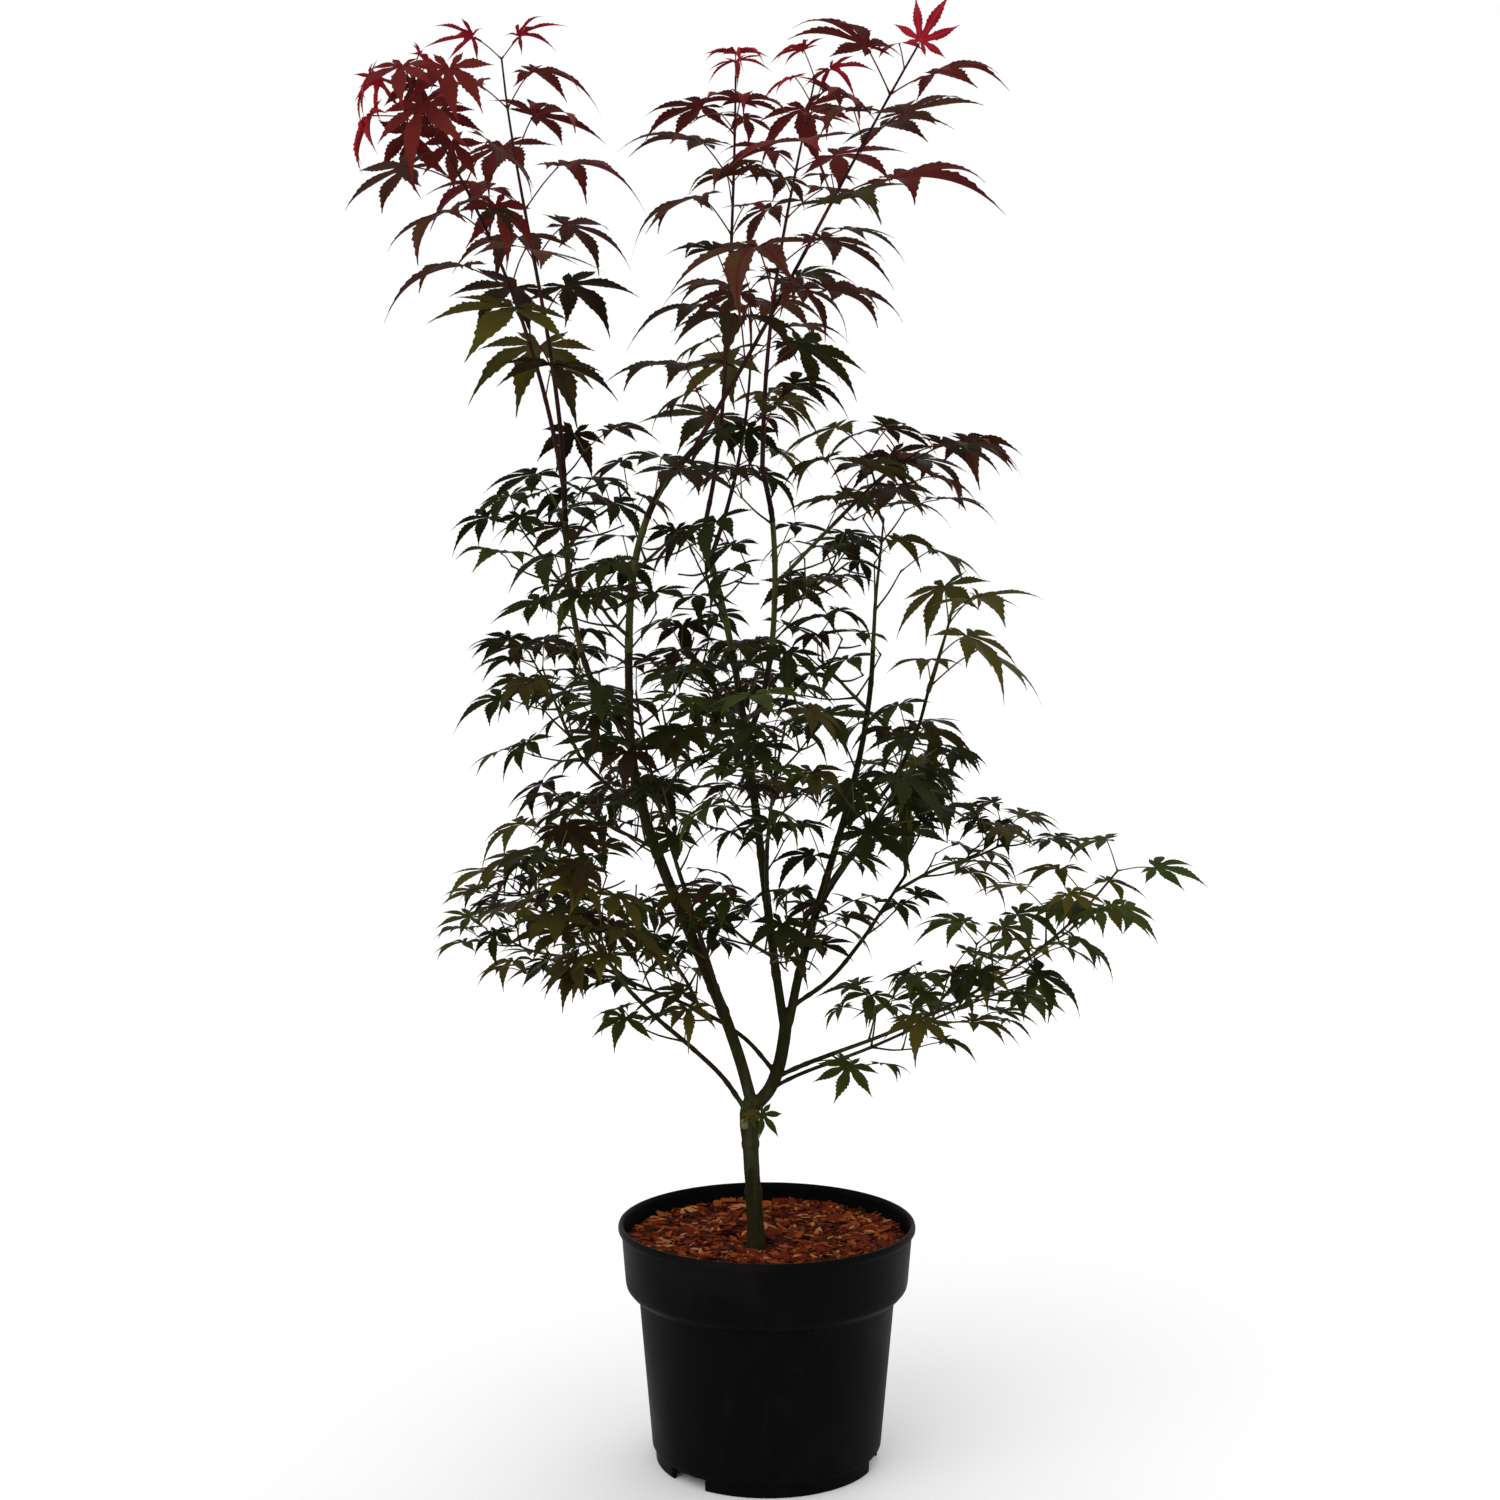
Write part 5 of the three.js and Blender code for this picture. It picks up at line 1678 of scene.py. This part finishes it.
class MAPLE_OT_bark(Operator):
    """Grow the trunk, its fork and the boughs, with bark in relief and ringed nodes."""

    bl_idname = "maple.bark"
    bl_label = "Trunk and boughs"

    def execute(self, context):
        sizes = context.scene.maple_bark
        amount = sizes.relief / MM
        limbs = grown_plant()["limbs"]
        fork = self.fork(limbs, amount)
        fork.data.materials.append(old_bark_finish(tuple(sizes.old_bark)))
        place_piece(fork, "old_bark", "trunk", *list(FORK_REACH)[1:])
        self.graft_scar()
        finishes = {
            "green": stem_finish("green_bark", tuple(sizes.green_bark), (0.018, 0.010, 0.005)),
            "fresh": stem_finish("fresh_bark", tuple(sizes.fresh_bark), (0.044, 0.024, 0.011)),
            "purple": stem_finish("purple_bark", tuple(sizes.purple_bark), (0.030, 0.010, 0.008)),
        }
        gathered = {tone: Facets() for tone in finishes}
        held = {tone: [] for tone in finishes}
        for number, name in enumerate(boughs):
            line = limbs[name]
            random = np.random.default_rng(200 + number)
            start = FORK_REACH.get(name, 0)
            if start >= line.length - 4:
                continue
            nodes = [start + 1.5] if start else []
            nodes += [n for n in node_places(line, sizes.node_gap / MM, random) if n > start + 8]
            sides = 18 if boughs[name].radii[0] > 4 else 12
            marks = np.linspace(0, line.length, len(line.points))
            turns = [np.interp(height, line.points[:, 2], marks) for height in BARK_TURNS]
            stops = [max(0, start - 5), *turns, line.length]
            for tone, first, last in zip(finishes, stops, stops[1:]):
                if last - first > 6:
                    limb_tube(
                        gathered[tone], line, lambda d, name=name: limb_radius(name, d),
                        first, last + 2, sides, 1.2, random, amount,
                        nodes + ([first] if first > start else []),
                    )
                    held[tone].append(name)
        for tone, facets in gathered.items():
            piece = joined_mesh(f"{tone}_stems", facets, finishes[tone])
            place_piece(piece, "young_bark", *held[tone])
        return {"FINISHED"}

    def fork(self, limbs, amount):
        """The trunk and the feet of the stems as one body, its forks grown together."""
        facets = Facets()
        for number, (name, reach) in enumerate(FORK_REACH.items()):
            line = limbs[name]
            random = np.random.default_rng(100 + number)
            nodes = TRUNK_RINGS if name == "trunk" else []
            limb_tube(
                facets, line, lambda d, name=name: limb_radius(name, d),
                0, reach, 40, 1.0, random, amount * (1.2 if name == "trunk" else 0.8), nodes,
                fork_joins(limbs, name),
            )
        blank = joined_mesh("trunk_blank", facets, None)
        grown = blank.modifiers.new("grown", "REMESH")
        grown.mode = "VOXEL"
        grown.voxel_size = 0.85 * MM
        soft = blank.modifiers.new("soft", "SMOOTH")
        soft.factor = 0.5
        soft.iterations = 6
        mesh = applied_mesh(blank)
        bpy.data.objects.remove(blank)
        mesh.name = "trunk_and_fork"
        mesh.materials.clear()
        mesh.shade_smooth()
        return linked_object("trunk_and_fork", mesh)

    def graft_scar(self):
        """The pale healed cut on the swelling under the fork."""
        middle = grown_plant()["limbs"]["trunk"].point(SCAR_AT)
        facets = Facets()
        out = unit(np.array((-0.55, -1.0, 0.12)))
        # How far each ring stands out from the trunk's middle, and its radius.
        steps = np.array((5.5, 8.6, 9.6, 10.1, 9.7, 9.4))
        radii = np.array((3.4, 3.5, 3.3, 2.7, 2.1, 0.6))
        tall = 1 + 0.55 * np.abs(np.cos(2 * np.pi * np.arange(24) / 24))
        tube(facets, middle + steps[:, None] * out, radii[:, None] * tall, 24)
        scar = joined_mesh("graft_scar", facets, stalk_finish("healed_cut", (0.11, 0.095, 0.06)))
        place_piece(scar, "old_bark", "trunk")


# ---- Twigs, stalks and leaves -------------------------------------------------------------

# Each tint's slot, and the colours of its patches and of its ribs.
Tint = namedtuple("Tint", "slot patch rib")
TINTS = {
    "scarlet": Tint("foliage_crimson", (0.38, 0.026, 0.030), (0.36, 0.03, 0.04)),
    "crimson": Tint("foliage_crimson", (0.115, 0.024, 0.014), (0.15, 0.010, 0.014)),
    "maroon": Tint("foliage_maroon", (0.068, 0.032, 0.013), (0.060, 0.010, 0.009)),
    # The plum and deep green patches are the leaves' own tints, darkened further as painted shade for
    # the middle masses.
    "plum": Tint("foliage_maroon", (0.027, 0.019, 0.0070), (0.024, 0.010, 0.006)),
    "bronze": Tint("foliage_bronze", (0.046, 0.042, 0.0095), (0.040, 0.026, 0.008)),
    "olive": Tint("foliage_bronze", (0.070, 0.058, 0.010), (0.062, 0.050, 0.012)),
    "green": Tint("foliage_green", (0.045, 0.058, 0.0105), (0.024, 0.042, 0.009)),
    "deep_green": Tint("foliage_dark", (0.020, 0.023, 0.0062), (0.014, 0.021, 0.006)),
}

# How often each tint is dealt to a spray of each tone.
DEALS = {
    "maroon": (("maroon", 0.12), ("plum", 0.44), ("bronze", 0.44)),
    "dark": (("deep_green", 0.5), ("plum", 0.28), ("bronze", 0.14), ("green", 0.08)),
    "bronze": (("bronze", 0.34), ("plum", 0.22), ("deep_green", 0.20), ("olive", 0.24)),
    "green": (("green", 0.62), ("deep_green", 0.22), ("olive", 0.16)),
}
# What the shoots are dealt, by how high the leaf stands; a nodding shoot's tip is redder, as
# if it stood higher. The newest leaves are scarlet only high up.
SCARLET_FROM = 1150
SHOOT_DEALS = (
    (1250, (("crimson", 1.0),)),
    (1160, (("crimson", 0.34), ("maroon", 0.66))),
    (1070, (("maroon", 0.62), ("plum", 0.22), ("bronze", 0.16))),
    (0, (("plum", 0.28), ("bronze", 0.30), ("olive", 0.12), ("deep_green", 0.30))),
)
REDDER = 90
TUFT_FROM = 0.8
GOLDEN_DEAL = (("olive", 0.75), ("bronze", 0.25))
CARRIERS = [*masses, *boughs, "trunk"]


def dealt_tint(leaf):
    """The tint of a leaf, the same for its whole spray."""
    deal = seeded_random(CARRIERS.index(leaf.mass) * 977 + leaf.spray * 131 + 7)()
    if leaf_kind(leaf) in ("broad", "small"):
        choices = DEALS[leaf.tone]
    elif leaf.tone == "bronze":
        choices = GOLDEN_DEAL
    elif leaf.share > NEWEST and leaf.root[2] > SCARLET_FROM:
        return "scarlet"
    else:
        hangs = masses[leaf.mass].nod > 0 and leaf.share >= TUFT_FROM
        redness = leaf.root[2] + (REDDER if hangs else 0)
        choices = next(choices for height, choices in SHOOT_DEALS if redness >= height)
    for tint, weight in choices:
        deal -= weight
        if deal <= 0:
            return tint
    return choices[-1][0]


# The outline of a lobe: place along it and half width as a share of its widest. A leaf has
# seven, each with its angle and length; the notches between them, and the teeth.
LOBE_OUTLINE = (
    (0, 0.54), (0.12, 0.72), (0.25, 0.93), (0.36, 1.0), (0.48, 0.95), (0.60, 0.74), (0.71, 0.46),
    (0.81, 0.24), (0.91, 0.10), (1, 0.0),
)
LEAF_LOBES = ((-128, 0.34), (-87, 0.64), (-43, 0.88), (0, 1), (43, 0.88), (87, 0.64), (128, 0.34))
SINUS = 0.23
TOOTH = 0.21

# The kinds of leaf: width of the lobes and curl of their tips against the usual, how far their
# halves fold up, and size.
LeafKind = namedtuple("LeafKind", "width curl folds size")
LEAF_KINDS = {
    "young": LeafKind(0.44, 1.0, (0.6, 1.3), 1.0),
    "open": LeafKind(0.78, 0.3, (0.15, 0.35), 1.0),
    "long": LeafKind(1.0, 1.5, (0.12, 0.40), 1.0),
    "broad": LeafKind(1.08, 1.0, (0.10, 0.42), 1.08),
    "small": LeafKind(1.0, 1.0, (0.10, 0.42), 0.98),
}
NEWEST = 0.93


def leaf_kind(leaf):
    """The kind of a leaf: broad or small in a spray, long on a shoot, and young at its tip."""
    if leaf.mass not in masses or masses[leaf.mass].kind == "spray":
        return "small" if leaf.tone == "green" else "broad"
    if leaf.share > NEWEST:
        return "open" if leaf.mass == OPEN_TIP else "young"
    return "long"


def leaf_pattern(random, lobe_width, curl, folds):
    """One leaf of unit blade: toothed, folded lobes that arch and curl down to drawn-out tips."""
    points = [(0.0, 0.0, 0.0)]
    places = [(0.0, 0.5)]
    faces = []
    rise = random.uniform(0.04, 0.20)
    fold = random.uniform(*folds)
    lobes = [
        (angle + random.uniform(-5, 5), reach * random.uniform(0.92, 1.05))
        for angle, reach in LEAF_LOBES
    ]
    sinuses = [(lobes[0][0] - 24, 0.06)]
    for (angle, reach), (next_angle, next_reach) in zip(lobes, lobes[1:]):
        sinuses.append(((angle + next_angle) / 2, SINUS * min(reach, next_reach) ** 0.7))
    sinuses.append((lobes[-1][0] + 24, 0.06))

    def height(along, across):
        arch = rise * along - (rise + 0.14 + dip) * along**2 - bend * along**5
        return arch + fold * across

    for index, (angle, reach) in enumerate(lobes):
        bend = curl * random.uniform(0.4, 1.7)
        dip = random.uniform(-0.12, 0.16)
        sweep = random.uniform(-9, 9) + 0.06 * angle
        stations = 20 if reach > 0.5 else 10
        right, left = sinuses[index], sinuses[index + 1]
        start = min(
            right[1] * cos(angle - right[0]), left[1] * cos(left[0] - angle)
        )
        start = max(start, 0.02)
        first_widths = (
            left[1] * abs(sin(left[0] - angle)), right[1] * abs(sin(angle - right[0]))
        )
        base = len(points)
        widest = lobe_width * reach**0.75
        for station in range(stations):
            share = station / stations
            along = mix(start, reach, share)
            profile = np.interp(share, *zip(*LOBE_OUTLINE)) * widest
            turn = angle + sweep * share**2
            settle = min(1, share / 0.2)
            settle = settle * settle * (3 - 2 * settle)
            tooth = TOOTH * profile * random.uniform(0.3, 1.3) if station % 2 else 0.0
            for side, first in ((1, first_widths[0]), (0, 0), (-1, first_widths[1])):
                width = mix(first, profile + tooth * min(1, share * 4), settle) if side else 0
                ahead = along + (0.018 if side and station % 2 else 0) * settle
                x = ahead * cos(turn) - side * width * sin(turn)
                y = ahead * sin(turn) + side * width * cos(turn)
                points.append((x, y, height(ahead, width)))
                places.append((share, 0.5 + 0.5 * side * min(1, width / max(widest, 0.001))))
        turn = angle + sweep
        points.append((reach * cos(turn), reach * sin(turn), height(reach, 0)))
        places.append((1.0, 0.5))
        for station in range(stations - 1):
            a = base + station * 3
            faces += [(a, a + 1, a + 4), (a, a + 4, a + 3)]
            faces += [(a + 1, a + 2, a + 5), (a + 1, a + 5, a + 4)]
        a = base + (stations - 1) * 3
        tip = a + 3
        faces += [(a, a + 1, tip), (a + 1, a + 2, tip), (0, base + 1, base), (0, base + 2, base + 1)]
    points = np.array(points)
    faces = np.array(faces)
    corners = points[faces]
    normal = np.cross(corners[:, 1] - corners[:, 0], corners[:, 2] - corners[:, 0])
    faces[normal[:, 2] < 0] = faces[normal[:, 2] < 0][:, ::-1]
    return points, faces, np.array(places)


def levelled(leaf):
    """A leaf's axes, turned a little flatter to the sky, except at the tips."""
    share = 0.0 if leaf.share > 0.9 else 0.3
    face = unit(mix(leaf.face, UP, share))
    forward = unit(leaf.forward - face * leaf.forward.dot(face))
    return forward, np.cross(face, forward), face


class MAPLE_OT_leaves(Operator):
    """Set the leaves, dealt into tints by spray, each tint joined into one piece."""

    bl_idname = "maple.leaves"
    bl_label = "Leaves"

    def execute(self, context):
        sizes = context.scene.maple_leaves
        colours = context.scene.maple_colours
        random = np.random.default_rng(31)
        patterns = {
            name: [
                leaf_pattern(
                    random, sizes.lobe_width * kind.width, sizes.curl * kind.curl, kind.folds
                )
                for _ in range(sizes.patterns)
            ]
            for name, kind in LEAF_KINDS.items()
        }
        gathered = {tint: Facets() for tint in TINTS}
        held = {tint: set() for tint in TINTS}
        leaves = grown_plant()["leaves"]
        if len(leaves) < 200:
            raise RuntimeError(f"only {len(leaves)} leaves found room")
        for leaf in leaves:
            kind = leaf_kind(leaf)
            points, faces, places = patterns[kind][random.integers(sizes.patterns)]
            hang = random.uniform(0.7, 1.4)
            arch = np.array((1, random.choice((-1, 1)), hang))
            local = points * arch * leaf.size * sizes.fullness * LEAF_KINDS[kind].size
            if arch[1] < 0:
                faces = faces[:, ::-1]
            tint = dealt_tint(leaf)
            forward, left, face = levelled(leaf)
            gathered[tint].add(
                leaf.root + local[:, :1] * forward + local[:, 1:2] * left + local[:, 2:] * face,
                faces,
                places,
            )
            if leaf.mass in masses:
                held[tint].add(leaf.mass)
        for tint, facets in gathered.items():
            if facets.count:
                slot, patch, rib = TINTS[tint]
                finish = leaf_finish(f"{tint}_leaf", tuple(getattr(colours, tint)), patch, rib)
                piece = joined_mesh(f"{tint}_leaves", facets, finish)
                place_piece(piece, slot, *sorted(held[tint]))
        return {"FINISHED"}


# The height from which twigs are purple, their relief, and the share of red stalks below the
# top shoots.
PURPLE_FROM = 900
TWIG_RELIEF = 0.25
RED_BELOW = 0.12
STALKS = {
    "red_stalks": ("foliage_crimson", (0.105, 0.014, 0.012)),
    "green_stalks": ("foliage_green", (0.070, 0.068, 0.018)),
}


def twig_kind(height):
    return "purple_shoots" if height > PURPLE_FROM else "green_sprays"


class MAPLE_OT_twigs(Operator):
    """Grow the masses' stems, their side twigs and the leaf stalks."""

    bl_idname = "maple.twigs"
    bl_label = "Twigs and leaf stalks"

    def execute(self, context):
        grown = grown_plant()
        stems = {"purple_shoots": Facets(), "green_sprays": Facets()}
        held = {kind: [] for kind in stems}
        for number, (name, line) in enumerate(grown["stems"].items()):
            spec = masses[name]
            kind = twig_kind(line.points[:, 2].mean())
            thick, thin = SHOOT_RADII if spec.kind == "shoot" else STEM_RADII
            random = np.random.default_rng(300 + number)
            limb_tube(
                stems[kind], line,
                lambda d, thick=thick, thin=thin, line=line: mix(thick, thin, d / line.length),
                0, line.length, 8, 2.2, random, TWIG_RELIEF, grown["nodes"][name],
            )
            held[kind].append(name)
        for twig in grown["twigs"]:
            kind = twig_kind(twig.points[0][2])
            line = smooth_line(twig.points, 3)
            radii = np.interp(np.linspace(0, 1, len(line)), np.linspace(0, 1, 3), twig.radii)
            radii[0] *= 1.35
            radii[-1] *= 1.3
            tube(stems[kind], line, radii, 6)
        finishes = {
            "purple_shoots": stem_finish("shoot_bark", (0.026, 0.011, 0.009), (0.055, 0.010, 0.010)),
            "green_sprays": stem_finish("spray_bark", (0.030, 0.028, 0.008), (0.034, 0.017, 0.008)),
        }
        for kind, facets in stems.items():
            piece = joined_mesh(kind, facets, finishes[kind])
            place_piece(piece, "young_bark", *held[kind])
        self.stalks(grown)
        return {"FINISHED"}

    def stalks(self, grown):
        """Thin leaf stalks: red on the top shoots, yellow-green below."""
        gathered = {name: Facets() for name in STALKS}
        random = np.random.default_rng(41)
        for leaf in grown["leaves"]:
            red = leaf.tone in ("crimson", "maroon") or random.uniform() < RED_BELOW
            facets = gathered["red_stalks" if red else "green_stalks"]
            length = np.linalg.norm(leaf.root - leaf.start)
            bow = UP * length * random.uniform(0.02, 0.07)
            under = leaf.root - leaf.face * 0.25
            line = smooth_line([leaf.start, mix(leaf.start, under, 0.55) + bow, under], 4)
            thin = 0.42 + 0.0045 * leaf.size
            places = np.linspace(0, 1, len(line))
            radii = thin * np.interp(places, [0, 0.12, 0.9, 1], [1.9, 1, 0.9, 1.2])
            tube(facets, line, radii, 5)
        for name, facets in gathered.items():
            slot, colour = STALKS[name]
            place_piece(joined_mesh(name, facets, stalk_finish(f"{name}_skin", colour)), slot)


# ---- Stage --------------------------------------------------------------------------------


# Where the camera stands, its focal length in millimetres and how far it looks down.
CAMERA_PLACE = (-0.0158, -2.000, 0.793)
CAMERA_LENS = 51.72
CAMERA_DOWN = 3.54


class MAPLE_OT_stage(Operator):
    """Lay the plain pale floor, set the soft studio lights and the camera."""

    bl_idname = "maple.stage"
    bl_label = "Floor, lights and camera"

    def execute(self, context):
        sizes = context.scene.maple_stage
        half = sizes.floor_size / 2
        mesh = bpy.data.meshes.new("floor")
        corners = [(-half, -half, 0), (half, -half, 0), (half, half, 0), (-half, half, 0)]
        mesh.from_pydata(corners, [], [(0, 1, 2, 3)])
        finish = Finish("pale_floor", tuple(sizes.floor_colour), 0.7, 0.1)
        mesh.materials.append(finish.material)
        floor = linked_object("floor", mesh)
        self.add_lights(context, sizes.light)
        camera_data = bpy.data.cameras.new("camera")
        camera_data.sensor_width = 36
        camera_data.lens = CAMERA_LENS
        camera = linked_object("camera", camera_data)
        camera.location = CAMERA_PLACE
        camera.rotation_euler = (math.radians(90 - CAMERA_DOWN), 0, 0)
        context.scene.camera = camera
        context.scene.view_settings.view_transform = "Standard"
        return {"FINISHED"}

    def add_lights(self, context, strength):
        world = bpy.data.worlds.new("studio")
        world.use_nodes = True
        background = world.node_tree.nodes["Background"]
        background.inputs["Color"].default_value = (1, 1, 1, 1)
        background.inputs["Strength"].default_value = strength
        context.scene.world = world
        for name, place, power in (("key", (-1.8, -2.2, 2.9), 0.7), ("rim", (1.6, 2.4, 2.9), 0.5)):
            light_data = bpy.data.lights.new(name, "SUN")
            light_data.angle = math.radians(50)
            light_data.energy = power
            light = linked_object(name, light_data)
            light.location = place
            aim = Vector((0, 0, 0.7)) - Vector(place)
            light.rotation_euler = aim.to_track_quat("-Z", "Y").to_euler()


# ---- Panel, registration and the making ---------------------------------------------------

OPERATORS = (
    MAPLE_OT_stage,
    MAPLE_OT_pot,
    MAPLE_OT_compost,
    MAPLE_OT_mulch,
    MAPLE_OT_bark,
    MAPLE_OT_twigs,
    MAPLE_OT_leaves,
)


class VIEW3D_PT_maple(Panel):
    """The maple's pieces and their sizes."""

    bl_label = "Potted Japanese maple"
    bl_space_type = "VIEW_3D"
    bl_region_type = "UI"
    bl_category = "Maple"

    def draw(self, context):
        for group_name, kind in GROUPS.items():
            box = self.layout.box()
            for name in kind.__annotations__:
                box.prop(getattr(context.scene, group_name), name)
        for operator in OPERATORS:
            self.layout.operator(operator.bl_idname)


GROUPS = {
    "maple_pot": PotSizes,
    "maple_bark": BarkSizes,
    "maple_leaves": LeafSizes,
    "maple_colours": LeafColours,
    "maple_stage": StageSizes,
}


def register():
    for kind in (*GROUPS.values(), *OPERATORS, VIEW3D_PT_maple):
        bpy.utils.register_class(kind)
    for name, group in GROUPS.items():
        setattr(bpy.types.Scene, name, PointerProperty(type=group))


def unregister():
    for name in GROUPS:
        delattr(bpy.types.Scene, name)
    for kind in (VIEW3D_PT_maple, *reversed(OPERATORS), *reversed(GROUPS.values())):
        bpy.utils.unregister_class(kind)


def main():
    register()
    bpy.ops.maple.stage()
    bpy.ops.maple.pot()
    bpy.ops.maple.compost()
    bpy.ops.maple.mulch()
    bpy.ops.maple.bark()
    bpy.ops.maple.twigs()
    bpy.ops.maple.leaves()


if __name__ == "__main__":
    main()
